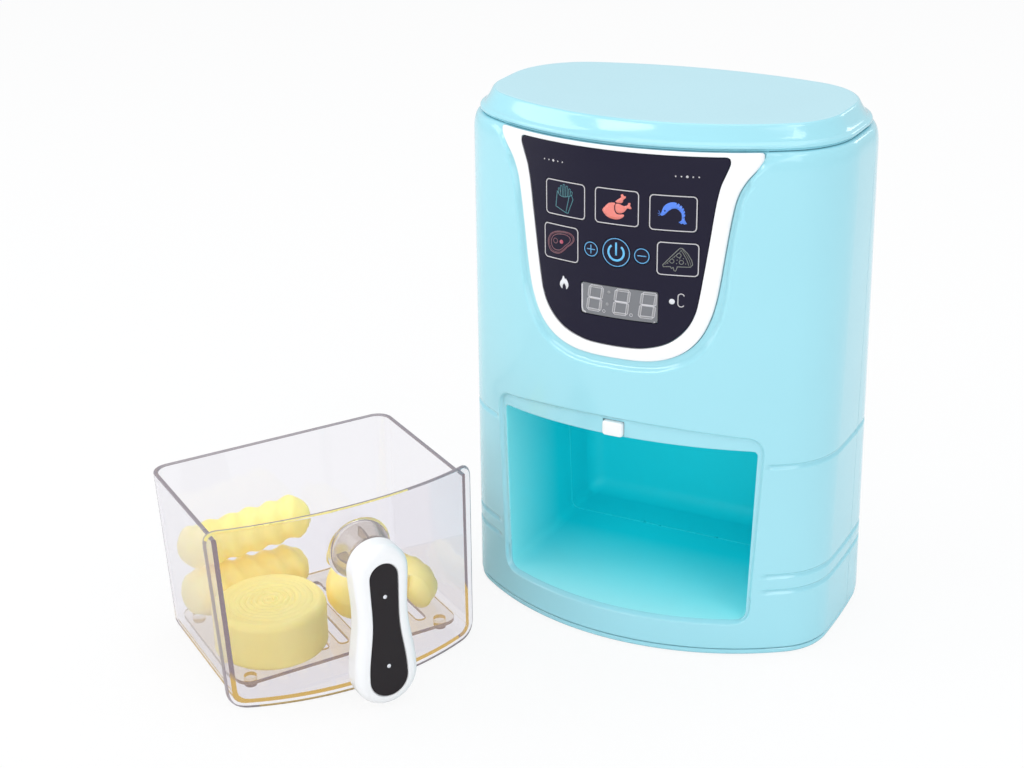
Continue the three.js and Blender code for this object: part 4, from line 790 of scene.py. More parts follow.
def rear_shell():
    """The rear shell's skin with the battery door's hole and the speaker's slots, and its screw wells."""
    grid = np.array([(u, h) for h in rows() for u in columns(REAR_FLAT, 3.4)])
    door = rounded_box(*DOOR_HOLE, 3, 8, 20)
    holes = [door, *(bent_round(ring_outline(x, z, WELL_RADIUS, WELL_STEPS)) for x, z in WELLS)]
    keep = np.ones(len(grid), bool)
    for hole in holes:
        keep &= (distance_to(grid, hole) > 0.7) & ~inside(grid, hole)
    rims = [grown(hole, 0.5) for hole in holes]
    flat, faces = triangulated(grid[keep], [(loop, True) for loop in [*holes, *rims]], holes)
    z, depth = shoulder(flat[:, 1])
    depth = depth + groove_depth(np.full(len(flat), 99.0), flat[:, 1])
    to_hole = np.min([distance_to(flat, hole) for hole in holes], 0)
    depth = depth + 0.3 * np.clip(1 - to_hole / 0.5, 0, 1)
    skin = make_piece("rear_shell_skin", surface(flat[:, 0], z, depth, True), faces)
    thicken(outward(skin, (0, 0, 120)), WALL + 0.4)
    outline = rounded_box(-1, 1, -11, 11, 0.95, 6)
    slots = row_of(stacked("slot", [upright(outline, y) for y in (48, 70)]), 5, 4, aqua, arch=0.138)
    slots.data.transform(Matrix.Translation((0, 0, GRILLE_HEIGHT * MM)))
    carve(skin, outward(slots), "DIFFERENCE")
    return crease(skin, 40), [well_cup(x, z) for x, z in WELLS]


def well_cup(x, z):
    """The round well that a case screw sits in."""
    count = WELL_STEPS
    circle = ring_outline(x, z, WELL_RADIUS, count)
    wide = ring_outline(x, z, WELL_RADIUS + WELL_WALL, count)
    top = on_rear(bent_round(circle), 0.35)
    outer_top = on_rear(bent_round(wide), 1.2)
    floor, under = upright(circle, WELL_FLOOR), upright(wide, WELL_FLOOR - WELL_BOTTOM)
    points = np.vstack([top, floor, under, outer_top])
    faces = []
    for a, b in ((0, 1), (2, 3), (3, 0)):
        faces += inner_band(a * count, b * count, count)
    faces += [tuple(range(count, 2 * count)), tuple(range(2 * count, 3 * count))]
    return make_piece("well", points, faces, False)


def ring_rows(levels):
    """Whole rings of the housing's outline, each at a height and a depth."""
    front = columns(FRONT_FLAT, 3.0)[1:-1]
    rear = columns(REAR_FLAT, 4.0)[::-1][1:-1]
    return [np.vstack([surface(front, z, depth), surface(rear, z, depth, True)]) for z, depth in levels]


def top_cover():
    """The lid: a bead at its foot, a slanted band and a flat top, hollow from below."""
    outside = [(231, 6.15), (239.85, 6.15), (239.9, 4.1), (240.5, 3.9), (240.8, 3.35), (241.1, 3.08), (241.6, 2.98)]
    outside += [(242.1, 3.05), (242.5, 3.3), (242.8, 3.8), (243.05, 4.5)]
    outside += [(243.5, 5.3), (245.2, 6.45), (247.2, 7.65), (248.6, 8.4), (249.3, 8.8), (249.7, 9.25)]
    outside += [(249.93, 9.8), (250, 10.6)]
    layers = ring_rows(outside)
    count = len(layers[0])
    crown = [layers[-1] * (share, share, 1) for share in (0.985, 0.96, 0.9, 0.8, 0.6, 0.4, 0.2, 0.05)]
    under = ring_rows([(247.8, 13.2), (246.7, 11.6), (240.2, 8.3), (231, 8.3)])
    roof = [under[0] * (share, share, 1) for share in (0.1, 0.5, 0.9)]
    stack = layers + crown
    floor_stack = roof + under
    faces = []
    base = len(stack) * count
    for start, rings in ((0, len(stack)), (base, len(floor_stack))):
        for level in range(rings - 1):
            faces += band(start + level * count, start + (level + 1) * count, count)
    faces.append(tuple(range((len(stack) - 1) * count, len(stack) * count)))
    faces += band(base + (len(floor_stack) - 1) * count, 0, count)
    faces.append(tuple(range(base, base + count))[::-1])
    return crease(outward(make_piece("top_cover_skin", np.vstack(stack + floor_stack), faces)), 30)


def base_plate():
    """The plate under the housing, with a hollow for each foot screw."""
    levels = [(0, 2.6), (0.12, 1.7), (0.45, 1.05), (1.0, 0.6), (1.6, 0.42), (2.7, 0.4), (3.0, 0.7)]
    plate = stacked("base_plate_skin", ring_rows(levels))
    for x in (-45, 45):
        for y in (-33, 33):
            place = (x * MM, y * MM, 0)
            bpy.ops.mesh.primitive_cylinder_add(vertices=48, radius=3.2 * MM, depth=3.4 * MM, location=place)
            carve(plate, bpy.context.object, "DIFFERENCE")
    return crease(plate, 40)


# Pieces made by Geometry Nodes


def node_maker(tree):
    """Two short ways to work on a tree: feed sets or links a node's inputs, and add makes a node and
    feeds it. An input goes by its name, with _ for each space, or by _ and its number."""
    def feed(node, **inputs):
        for key, value in inputs.items():
            socket = node.inputs[int(key[1:])] if key[0] == "_" else node.inputs[key.replace("_", " ")]
            if isinstance(value, bpy.types.NodeSocket):
                tree.links.new(value, socket)
            else:
                socket.default_value = value
        return node

    def add(kind, properties=None, **inputs):
        node = tree.nodes.new(kind)
        for key, value in (properties or {}).items():
            setattr(node, key, value)
        return feed(node, **inputs)

    return add, feed


def new_tree(name, kinds, takes_points=False):
    """An empty tree with its named inputs, and the identifiers that set them."""
    tree = bpy.data.node_groups.new(name, "GeometryNodeTree")
    if takes_points:
        tree.interface.new_socket("Geometry", in_out="INPUT", socket_type="NodeSocketGeometry")
    tree.interface.new_socket("Geometry", in_out="OUTPUT", socket_type="NodeSocketGeometry")
    sockets = {}
    for title, kind in kinds.items():
        sockets[title] = tree.interface.new_socket(title, in_out="INPUT", socket_type="NodeSocket" + kind)
    return tree, {title: socket.identifier for title, socket in sockets.items()}


def row_tree():
    """Forms in a row along X about its middle. Middle scales the middle form, and Arch shortens the
    outer ones along Z."""
    kinds = {"Form": "Object", "Count": "Int", "Pitch": "Float", "Middle": "Float", "Arch": "Float"}
    tree, sockets = new_tree("row_of_forms", {**kinds, "Finish": "Material"})
    add, _ = node_maker(tree)
    entry = add("NodeGroupInput").outputs

    def reckon(operation, *values):
        inputs = {f"_{i}": value for i, value in enumerate(values)}
        return add("ShaderNodeMath", {"operation": operation}, **inputs).outputs[0]

    form = add("GeometryNodeObjectInfo", Object=entry["Form"]).outputs["Geometry"]
    half = reckon("MULTIPLY", reckon("SUBTRACT", entry["Count"], 1.0), 0.5)
    place = reckon("SUBTRACT", add("GeometryNodeInputIndex").outputs[0], half)
    spot = add("ShaderNodeCombineXYZ", X=reckon("MULTIPLY", place, entry["Pitch"])).outputs[0]
    points = add("GeometryNodePoints", Count=entry["Count"], Position=spot).outputs[0]
    lost = reckon("MULTIPLY", reckon("MULTIPLY", place, place), entry["Arch"])
    height = reckon("SQRT", reckon("SUBTRACT", 1.0, lost))
    equal = {"data_type": "FLOAT", "operation": "EQUAL"}
    central = add("FunctionNodeCompare", equal, _0=place, _1=0.0).outputs[0]
    size = add("GeometryNodeSwitch", {"input_type": "FLOAT"}, _0=central, _1=1.0, _2=entry["Middle"]).outputs[0]
    scale = add("ShaderNodeCombineXYZ", X=size, Y=size, Z=reckon("MULTIPLY", size, height)).outputs[0]
    row = add("GeometryNodeInstanceOnPoints", Points=points, Instance=form, Scale=scale).outputs[0]
    real = add("GeometryNodeRealizeInstances", _0=row).outputs[0]
    dressed = add("GeometryNodeSetMaterial", Geometry=real, Material=entry["Finish"]).outputs[0]
    add("NodeGroupOutput", _0=dressed)
    return tree, sockets


def made_by_nodes(name, tree, sockets, values, points=((0, 0, 0),)):
    """A piece that the tree makes from the carrier's points."""
    carrier = make_piece(name, points, [], False)
    nodes = carrier.modifiers.new("nodes", "NODES")
    nodes.node_group = tree
    for key, value in values.items():
        nodes[sockets[key]] = value
    return settle(carrier)


def row_of(form, count, pitch, finish, middle=1.0, arch=0.0):
    """A row of one form, which it takes away."""
    tree, sockets = row_tree()
    values = {"Form": form, "Count": count, "Pitch": pitch * MM, "Middle": middle, "Arch": arch, "Finish": finish}
    row = made_by_nodes(form.name + "_row", tree, sockets, values)
    bpy.data.objects.remove(form)
    bpy.data.node_groups.remove(tree)
    return row


# Pieces laid on the housing's front


def front_patch(name, outline, levels, holes=(), step=3.0):
    """A plate that follows the front's bow. Levels run from the back of its edge to its face."""
    grid = grid_over(outline, step, step)
    inner = grown(outline, -max(inset for inset, _ in levels))
    spots = grid[inside(grid, inner) & (distance_to(grid, inner) > 0.6)]
    for hole in holes:
        spots = spots[~inside(spots, hole) & (distance_to(spots, hole) > 0.5)]
    face, triangles = triangulated(spots, [(inner, True)] + [(hole, True) for hole in holes], holes, inner)
    back_depth, face_depth = levels[0][1], levels[-1][1]
    count = len(outline)
    points = [on_front(face, face_depth), on_front(face, back_depth)]
    faces = [tuple(t) for t in triangles] + [tuple(t[::-1] + len(face)) for t in triangles]
    start = 2 * len(face)
    rings = [(levels[-1][0], back_depth)] + list(levels)
    points += [on_front(grown(outline, -inset), depth) for inset, depth in rings]
    for level in range(len(rings) - 1):
        faces += band(start + level * count, start + (level + 1) * count, count)
    start += len(rings) * count
    for hole in holes:
        size = len(hole)
        points += [on_front(hole, face_depth), on_front(hole, back_depth)]
        faces += band(start, start + size, size)
        start += 2 * size
    return crease(outward(make_piece(name, np.vstack(points), faces)), 50)


def bezel_ring():
    """The white ring between the recess and the dark panel."""
    count = 300
    outer = grown(resampled(bezel_outline, count), -BEZEL_SEAM)
    inner = resampled(grown(overlay_outline, 0.3), count)
    shift = int(np.argmin(np.hypot(*(inner - outer[0] * (0.78, 1)).T)))
    inner = np.roll(inner, -shift, 0)
    outer_edge = ((0, 1.7), (0, 1.0), (0.25, 0.62), (0.6, 0.46), (1.1, BEZEL_DEPTH))
    inner_edge = ((0.9, BEZEL_DEPTH), (0.35, 0.45), (0.1, 0.6), (0, 0.8), (0, 1.7))
    layers = [on_front(grown(outer, -inset), depth) for inset, depth in outer_edge]
    layers += [on_front(grown(inner, grow), depth) for grow, depth in inner_edge]
    faces = []
    for level in range(len(layers)):
        faces += band(level * count, (level + 1) % len(layers) * count, count)
    return crease(outward(make_piece("bezel_skin", np.vstack(layers), faces)), 60)


def control_overlay():
    holes = [key_outline(name, 0.25) for name in KEYS] + [display_outline(0.3)]
    outline = resampled(overlay_outline, 240)
    levels = [(0, PANEL_BACK), (0, 1.0), (0.12, 0.78), (0.35, OVERLAY_DEPTH)]
    return front_patch("overlay_skin", outline, levels, holes, 2.5)


def key_cap(name):
    levels = [(0, 4.4), (0, 0.78), (0.06, 0.72), (0.15, OVERLAY_DEPTH)]
    return front_patch(name + "_cap", key_outline(name), levels, (), 2.5)


def display_block():
    """The grey block behind the digits."""
    levels = [(0, PANEL_BACK), (0, 0.9), (0.1, 0.76), (0.3, OVERLAY_DEPTH)]
    return front_patch("display_block", display_outline(), levels, (), 2.5)


def switch_tab():
    outline = rounded_box(*TAB, 1.4, 8, 10)
    levels = [(0, 3.4), (0, 0.9), (0.12, 0.55), (0.4, 0.25), (0.9, 0.1)]
    return front_patch("switch_tab_cap", outline, levels, (), 1.2)


def battery_door():
    """The door of the battery bay, with a screw hole and five ridges laid on its face."""
    outline = rounded_box(*DOOR, 3, 10, 30)
    grid = grid_over(outline, 4, 4)
    spots = grid[inside(grid, grown(outline, -1.2))]
    screw = ring_outline(*DOOR_SCREW, 24)
    spots = spots[distance_to(spots, screw) > 1.2]
    edge_loops = [grown(outline, -inset) for inset in (0, 0.15, 0.45, 0.9)]
    flat, faces = triangulated(spots, [(loop, True) for loop in [*edge_loops, screw]], [screw], outline)
    depth = 0.3 + 0.45 * (1 - np.clip(distance_to(flat, outline) / 0.8, 0, 1)) ** 2
    skin = make_piece("battery_door_skin", on_rear(flat, depth), faces)
    thicken(outward(skin, (0, 0, 158)), 1.8)
    ridge = rounded_box(-0.6, 0.6, -11, 11, 0.58, 6, 12)
    levels = ((-0.9, 0), (0.05, 0), (0.2, 0.08), (0.28, 0.25))
    ridges = row_of(stacked("ridge", [lying(grown(ridge, -inset), z) for z, inset in levels]), 5, 2.3, aqua)
    spots = np.array([v.co for v in ridges.data.vertices]) / MM
    laid = surface(spots[:, 1], RIDGES_HEIGHT + spots[:, 0], 0.3 - spots[:, 2], True) * MM
    ridges.data.vertices.foreach_set("co", laid.ravel())
    carve(skin, outward(ridges), "UNION")
    return crease(skin, 40)


# Screws


def screw_tree():
    """Screws with a cross recess, at the carrier's points, their heads up the turned Z axis."""
    names = ("Head radius", "Head height", "Shank radius", "Shank length", "Recess width", "Recess depth")
    kinds = {**{name: "Float" for name in names}, "Turn": "Vector", "Finish": "Material"}
    tree, sockets = new_tree("cross_screws", kinds, True)
    add, feed = node_maker(tree)
    entry = add("NodeGroupInput").outputs

    def product(value, factor):
        return add("ShaderNodeMath", {"operation": "MULTIPLY"}, _0=value, _1=factor).outputs[0]

    def rod(sides, radius, length, lift):
        mesh = add("GeometryNodeMeshCylinder", Vertices=sides, Radius=radius, Depth=length).outputs[0]
        return raised(mesh, product(length, lift))

    def raised(mesh, height):
        lift = add("ShaderNodeCombineXYZ", Z=height).outputs[0]
        return add("GeometryNodeTransform", Geometry=mesh, Translation=lift).outputs[0]

    head = rod(40, entry["Head radius"], entry["Head height"], 0.5)
    shank = rod(24, entry["Shank radius"], entry["Shank length"], -0.49)
    body = add("GeometryNodeMeshBoolean", {"operation": "UNION"}, Mesh_2=head)
    feed(body, Mesh_2=shank)
    width, reach = entry["Recess width"], product(entry["Head radius"], 1.15)
    depth = product(entry["Recess depth"], 2.0)
    recess = add("GeometryNodeMeshBoolean", {"operation": "DIFFERENCE"}, Mesh_1=body.outputs[0])
    for x, y, z in ((width, reach, depth), (reach, width, product(depth, 0.9))):
        size = add("ShaderNodeCombineXYZ", X=x, Y=y, Z=z).outputs[0]
        bar = add("GeometryNodeMeshCube", Size=size).outputs[0]
        feed(recess, Mesh_2=raised(bar, entry["Head height"]))
    turn = add("FunctionNodeEulerToRotation", Euler=entry["Turn"]).outputs[0]
    screw, points = recess.outputs[0], entry["Geometry"]
    spread = add("GeometryNodeInstanceOnPoints", Points=points, Instance=screw, Rotation=turn).outputs[0]
    real = add("GeometryNodeRealizeInstances", _0=spread).outputs[0]
    dressed = add("GeometryNodeSetMaterial", Geometry=real, Material=entry["Finish"]).outputs[0]
    add("NodeGroupOutput", _0=dressed)
    return tree, sockets


def screw_set(name, nodes, head_radius, head_height, shank_radius, axis, side):
    """Screws in place of the given nodes. The head lies at the end of the axis that side names."""
    spots, lengths = [], []
    for node in nodes:
        corners = np.array([v.co for v in frame["nodes"][node].data.vertices]) / MM
        low, high = corners.min(0), corners.max(0)
        spot = (low + high) / 2
        spot[axis] = high[axis] - head_height if side > 0 else low[axis] + head_height
        spots.append(spot)
        lengths.append(high[axis] - low[axis] - head_height)
    tree, sockets = screw_tree()
    values = {
        "Head radius": (head_radius - 0.02) * MM,
        "Head height": (head_height - 0.02) * MM,
        "Shank radius": shank_radius * MM,
        "Shank length": (min(lengths) - 0.1) * MM,
        "Recess width": head_radius * 0.26 * MM,
        "Recess depth": head_height * 0.55 * MM,
        "Turn": (-math.pi / 2, 0, 0) if axis == 1 else (math.pi, 0, 0),
        "Finish": steel,
    }
    screws = outward(made_by_nodes(name, tree, sockets, values, spots))
    bpy.data.node_groups.remove(tree)
    return finish_piece(crease(screws, 30), "housing", steel, "screw_steel", *nodes)


# Prints on the panel


def unit(steps):
    return steps / np.maximum(np.linalg.norm(steps, axis=1), 1e-9)[:, None]


class Print:
    """Flat ink on the panel: strokes and fills in X and Z that follow the front's bow."""

    def __init__(self, depth=PRINT_DEPTH):
        self.depth = depth
        self.points = []
        self.faces = []

    def fill(self, outline, holes=(), step=1.6):
        outline = np.asarray(outline, float)
        spots = grid_over(outline, step, step)
        if len(spots):
            spots = spots[inside(spots, outline) & (distance_to(spots, outline) > step * 0.3)]
            for hole in holes:
                spots = spots[~inside(spots, hole)]
        loops = [(np.asarray(loop, float), True) for loop in (outline, *holes)]
        flat, faces = triangulated(spots, loops, holes, outline)
        self.add(flat, faces)

    def stroke(self, path, width, closed=False):
        path = np.asarray(path, float)
        before = path - np.roll(path, 1, 0)
        after = np.roll(path, -1, 0) - path
        if not closed:
            before[0], after[-1] = after[0], before[-1]
        before, after = unit(before), unit(after)
        along = unit(before + after)
        widen = 1 / np.clip((along * after).sum(1), 0.6, 1)
        normal = np.column_stack([along[:, 1], -along[:, 0]]) * (width / 2 * widen)[:, None]
        count = len(path)
        flat = np.vstack([path + normal, path - normal])
        faces = band(0, count, count)
        self.add(flat, faces if closed else faces[:-1])

    def dot(self, x, z, radius, steps=20):
        self.add(ring_outline(x, z, radius, steps), [tuple(range(steps))])

    def add(self, flat, faces):
        start = sum(len(p) for p in self.points)
        self.points.append(np.asarray(flat, float))
        self.faces += [tuple(int(i) + start for i in face) for face in faces]

    def piece(self, name, body, material, slot):
        flat = np.vstack(self.points)
        piece = make_piece(name, on_front(flat, self.depth), self.faces)
        shape = bmesh.new()
        shape.from_mesh(piece.data)
        for face in shape.faces:
            face.normal_update()
            if face.normal.y > 0:
                face.normal_flip()
        shape.to_mesh(piece.data)
        shape.free()
        return finish_piece(thicken(piece, 0.05), body, material, slot)


def at(points, x, z, size=1.0):
    """A symbol's points, moved to its place on the panel."""
    return np.asarray(points, float) * size + (x, z)


def key_frame_print(name):
    ink = Print()
    ink.stroke(key_outline(name, -0.3), 0.46, True)
    return ink


def fries_print():
    x, z = KEYS["key_fries"][:2]
    ink = Print()
    ink.stroke(at([(-4.1, 3.1), (-4.9, -3.9), (0.4, -6.1), (2.1, 1.5)], x, z), 0.34)
    ink.stroke(at(smooth_path([(-4.1, 3.1), (-2.8, 1.4), (-0.6, 0.9), (2.1, 1.5)], 5), x, z), 0.34)
    ink.stroke(at([(0.4, -6.1), (1.5, -6.2), (4.1, 0.3), (3.3, 2.2), (2.1, 1.5)], x, z), 0.34)
    sticks = (
        (-3.3, 1.9, -3.2, 4.6), (-2.2, 1.3, -2.1, 5.9), (-0.9, 1.1, -0.6, 6.6), (0.4, 1.2, 0.9, 6.0),
        (1.6, 1.4, 2.3, 5.0), (2.6, 1.9, 3.3, 3.9),
    )
    for left, low, right, high in sticks:
        tip = [(right - 0.4, high - 0.3), (right, high), (right + 0.45, high - 0.3)]
        ink.stroke(at([(left, low), *tip, (left + 0.9, low)], x, z), 0.26)
    return ink


def roast_print():
    """A roast bird: a plump body with its thigh and wing parted by dark gaps, and two leg bones."""
    x, z = KEYS["key_roast"][:2]
    ink = Print()
    front = [
        (-6.6, -2.1), (-5.4, -0.3), (-3.6, 1.4), (-1.2, 1.9), (-0.55, 1.5), (-1.05, 0.3), (-0.75, -1.9),
        (0.6, -3.1), (3.4, -2.9), (3.0, -4.2), (0.5, -5.4), (-2.5, -5.3), (-4.9, -4.3),
    ]
    ink.fill(at(smooth_path(front, 5, True), x, z))
    thigh = [
        (-0.1, 1.5), (1.5, 1.5), (3.4, 0.9), (5.0, 1.4), (5.5, 2.4), (6.4, 2.4), (6.3, 1.3), (6.9, 0.2),
        (6.1, -0.2), (5.0, 0.0), (3.9, -1.4), (2.6, -2.3), (0.8, -2.6), (-0.3, -1.7), (-0.6, 0.2),
    ]
    ink.fill(at(smooth_path(thigh, 5, True), x, z))
    leg = [
        (-0.5, 2.4), (0.9, 3.7), (2.1, 4.6), (2.0, 5.7), (2.9, 6.0), (3.4, 5.3), (4.3, 5.2), (4.1, 4.4),
        (3.2, 3.6), (2.7, 2.3), (1.2, 1.95),
    ]
    ink.fill(at(smooth_path(leg, 5, True), x, z))
    return ink


def shrimp_print():
    """A shrimp: an arched body cut by short gaps along its back, a fan tail, an eye and whiskers."""
    x, z = KEYS["key_shrimp"][:2]
    ink = Print()
    back = [(-5.2, -0.9), (-4.0, 2.6), (-2.1, 4.3), (0.1, 4.9), (2.3, 4.4), (4.1, 2.9), (5.0, 0.9), (5.1, -1.4)]
    back = smooth_path(back, 8)
    belly = [(-4.7, -1.4), (-3.4, -0.7), (-1.8, 1.0), (-0.2, 2.0), (1.4, 2.1), (2.8, 1.2), (3.6, -0.1)]
    belly = smooth_path([*belly, (3.8, -1.8)], 8)
    notched = [back[0]]
    for i in range(1, len(back) - 1):
        gap = i > 26 and i % 5 == 0
        notched.append(back[i] * 0.55 + belly[i] * 0.45 if gap else back[i])
    body = np.vstack([notched, back[-1:], belly[::-1]])
    ink.fill(at(body, x, z), [ring_outline(x - 3.4, z + 0.9, 0.34, 10)], 1.0)
    tail = [(3.8, -1.9), (5.0, -1.6), (4.9, -2.4), (5.9, -4.2), (4.8, -4.6), (4.2, -4.1), (3.6, -4.5)]
    ink.fill(at([*tail, (2.5, -3.7), (3.7, -2.8)], x, z))
    for reach in ((-6.1, 0.9), (-6.5, -0.2), (-6.2, -1.3)):
        ink.stroke(at([(-5.0, -0.9), reach], x, z), 0.16)
    return ink


def steak_print():
    x, z = KEYS["key_steak"][:2]
    ink = Print()
    edge = smooth_path(
        [
            (-6.8, 0.6), (-5.4, 3.1), (-2.6, 4.6), (0.9, 5.2), (4.3, 5.1), (6.4, 3.9), (6.7, 2.1),
            (5.3, 0.2), (3.4, -1.3), (1.3, -3.4), (-0.9, -5.0), (-3.8, -5.2), (-6.0, -4.1), (-6.9, -1.7),
        ],
        6, True,
    )
    ink.stroke(at(edge, x, z), 0.5, True)
    ink.stroke(at(edge * 0.9 + (-0.05, 0.05), x, z), 0.22, True)
    ink.stroke(at(edge * 0.74 + (-0.15, 0.1), x, z), 0.42, True)
    ink.stroke(ring_outline(x - 3.0, z + 0.35, 1.1, 22), 0.34, True)
    return ink


def pizza_print():
    x, z = KEYS["key_pizza"][:2]
    ink = Print()
    outer = [
        (-6.3, -2.9), (-2.6, 1.3), (0.9, 5.1), (1.9, 5.0), (4.1, 2.9), (5.9, -0.1), (6.3, -2.1),
        (5.4, -3.1), (4.1, -3.2), (0.0, -3.3), (-0.7, -5.3), (-1.4, -5.1), (-1.8, -3.7), (-2.5, -4.2),
        (-3.1, -3.4), (-6.0, -3.7),
    ]
    ink.stroke(at(outer, x, z), 0.36, True)
    ink.stroke(at([(-5.4, -2.7), (1.3, 3.7)], x, z), 0.26)
    ink.stroke(at(smooth_path([(1.2, 4.4), (2.8, 2.0), (4.0, -0.4), (4.7, -2.5)], 5), x, z), 0.3)
    ink.stroke(at(smooth_path([(1.9, 4.6), (3.6, 2.2), (5.0, -0.4), (5.6, -2.4)], 5), x, z), 0.2)
    for dx, dz, radius in ((0.5, 1.8, 0.95), (-2.4, -0.9, 0.9), (1.6, -1.2, 0.9)):
        ink.stroke(ring_outline(x + dx, z + dz, radius, 22), 0.3, True)
    for dx, dz in ((-1.4, 1.0), (-0.2, -0.3), (2.4, 0.5), (-4.1, -2.0), (-0.4, -1.9), (3.4, -1.8), (0.9, 0.4)):
        ink.dot(x + dx, z + dz, 0.25, 10)
    return ink


def power_ring_print():
    x, z, radius = KEYS["key_power"][:3]
    ink = Print()
    ink.stroke(ring_outline(x, z, radius - 0.45, 72), 0.42, True)
    return ink


def power_symbol_print():
    x, z = KEYS["key_power"][:2]
    ink = Print()
    ink.stroke(arc(x, z, 3.6, math.radians(126), math.radians(414), 60), 0.95)
    ink.stroke([(x, z - 1.3), (x, z + 1.5), (x, z + 4.5)], 0.85)
    return ink


def bright_dot(x, z, radius):
    ink = Print()
    ink.dot(x, z, radius, 24)
    return ink


def small_key_print(name, crossed):
    x, z, radius = KEYS[name][:3]
    ink = Print()
    ink.stroke(ring_outline(x, z, radius - 0.35, 48), 0.42, True)
    ink.stroke([(x - 2.0, z), (x, z), (x + 2.0, z)], 0.44)
    if crossed:
        ink.stroke([(x, z - 2.0), (x, z - 0.22)], 0.44)
        ink.stroke([(x, z + 0.22), (x, z + 2.0)], 0.44)
    return ink


def flame_print():
    ink = Print()
    flame = smooth_path(
        [
            (-0.3, 2.9), (0.5, 1.5), (0.9, 1.9), (2.0, 0.2), (2.1, -1.4), (1.1, -2.7), (0.9, -1.6),
            (0.1, -0.4), (-0.7, -1.4), (-0.9, -2.7), (-2.0, -1.5), (-1.9, 0.0), (-1.1, 1.2),
        ],
        5, True,
    )
    ink.fill(at(flame, -24.9, 175.2, 1.08))
    return ink


def celsius_print():
    ink = Print()
    upper = arc(30.3, 176.3, 1.35, math.radians(15), math.radians(180), 12)
    lower = arc(30.3, 173.1, 1.35, math.radians(180), math.radians(345), 12)
    ink.stroke(np.vstack([upper, lower]), 0.4)
    return ink


def dot_row(x, z):
    """Five printed dots in a row, the middle one larger."""
    disc = make_piece("dot", lying(ring_outline(0, 0, 0.33, 16), 0.0), [tuple(range(16))])
    row = row_of(disc, 5, 2.4, line_grey, 1.7)
    ink = Print()
    flat = np.array([v.co for v in row.data.vertices])[:, :2] / MM
    ink.add(flat + (x, z), [tuple(p.vertices) for p in row.data.polygons])
    bpy.data.objects.remove(row)
    return ink


SEGMENTS = {
    "top": ((-2.5, 5.5), (2.5, 5.5)),
    "middle": ((-2.5, 0), (2.5, 0)),
    "bottom": ((-2.5, -5.5), (2.5, -5.5)),
    "upper_left": ((-3.1, 0.7), (-3.1, 4.9)),
    "upper_right": ((3.1, 0.7), (3.1, 4.9)),
    "lower_left": ((-3.1, -4.9), (-3.1, -0.7)),
    "lower_right": ((3.1, -4.9), (3.1, -0.7)),
}
DIGIT_MIDDLES = (-8.9, 3.8, 15.9)
DIGIT_HEIGHT = 171.0
DIGIT_LEAN = 0.13


def digit_prints():
    """The unlit digits: pale bar walls round dull bars, two colon dots and the decimal rings, and a painted
    highlight along the display's left and bottom edges.
    """
    walls, bars = Print(), Print(PRINT_DEPTH + 0.015)
    for middle in DIGIT_MIDDLES:
        for name, (start, end) in SEGMENTS.items():
            ends = np.array([start, end], float)
            ends[:, 0] += middle + ends[:, 1] * DIGIT_LEAN
            ends[:, 1] += DIGIT_HEIGHT
            along = (ends[1] - ends[0]) / np.linalg.norm(ends[1] - ends[0])
            normal = np.array([-along[1], along[0]]) * 0.5
            tip = along * 0.5
            foot, head = ends
            bar = np.array([foot - tip, foot + normal, head + normal, head + tip, head - normal, foot - normal])
            bar[:, 0] = np.minimum(bar[:, 0], DISPLAY[1] - 0.5)
            if name == "middle":
                walls.fill(bar)
            else:
                walls.stroke(bar, 0.24, True)
                bars.fill(bar)
    for dx, dz in ((-2.15, 3.7), (-2.9, -1.9)):
        bars.dot(dx, DIGIT_HEIGHT + dz, 0.8)
    for dx in (-4.5, 8.4):
        walls.stroke(ring_outline(dx, DIGIT_HEIGHT - 5.3, 0.65, 16), 0.2, True)
    x0, x1, z0, z1 = DISPLAY
    # A painted highlight along the display block's left and bottom edges
    painted_border_highlight = [
        (x0 + 0.45, z1 - 0.9), (x0 + 0.45, z0 + 2.4), (x0 + 0.8, z0 + 1.1), (x0 + 2.0, z0 + 0.5),
        (x1 - 1.2, z0 + 0.45),
    ]
    walls.stroke(painted_border_highlight, 0.75)
    return walls, bars


# Drawer, in its own frame


def place_in_part(piece):
    """Moves a piece from the drawer's own frame to where the drawer stands."""
    shift = Matrix.Translation((DRAWER_PLACE[0] * MM, DRAWER_PLACE[1] * MM, 0))
    piece.data.transform(shift @ Matrix.Rotation(DRAWER_TURN, 4, "Z"))
    return piece


def stacked(name, layers, smooth=True):
    """A closed solid through loops that have the same number of points."""
    count = len(layers[0])
    faces = []
    for level in range(len(layers) - 1):
        faces += band(level * count, (level + 1) * count, count)
    faces += [tuple(range(count))[::-1], tuple(range((len(layers) - 1) * count, len(layers) * count))]
    return outward(make_piece(name, np.vstack(layers), faces, smooth))


def tub_ring(z, inset):
    """The drawer's outline at a height. The walls flare towards the rim."""
    share = (z - TUB_LIFT) / (TUB_RIM - TUB_LIFT)
    half = TUB_HALF_WIDTH + TUB_FLARE * share - inset
    back = TUB_BACK - TUB_BACK_LEAN * (1 - share) - inset
    return lying(rounded_box(-half, half, -30, back, TUB_CORNER - inset * 0.6, 10, 4), z)


def panel_y(x, z, depth):
    """Where the drawer's bowed front panel lies, at a depth below its face."""
    centre = FRONT_BOW - CHORD_DIP + PANEL_LEAN * z / PANEL_CROWN
    return centre - np.sqrt((FRONT_BOW - depth) ** 2 - x**2)


def behind_panel(depth):
    """A block whose front is the panel's bow, some way behind its face."""
    x = np.linspace(-70, 70, 57)
    layers = []
    for z in (-5, 105):
        curve = np.column_stack([x, panel_y(x, z, depth)])
        layers.append(lying(np.vstack([curve, [(70, 95), (-70, 95)]]), z))
    return stacked("behind_panel", layers)


def panel_outline():
    return resampled(arched_outline(62.6, 65.2, 0, 89, PANEL_CROWN, 9, 7), 240)


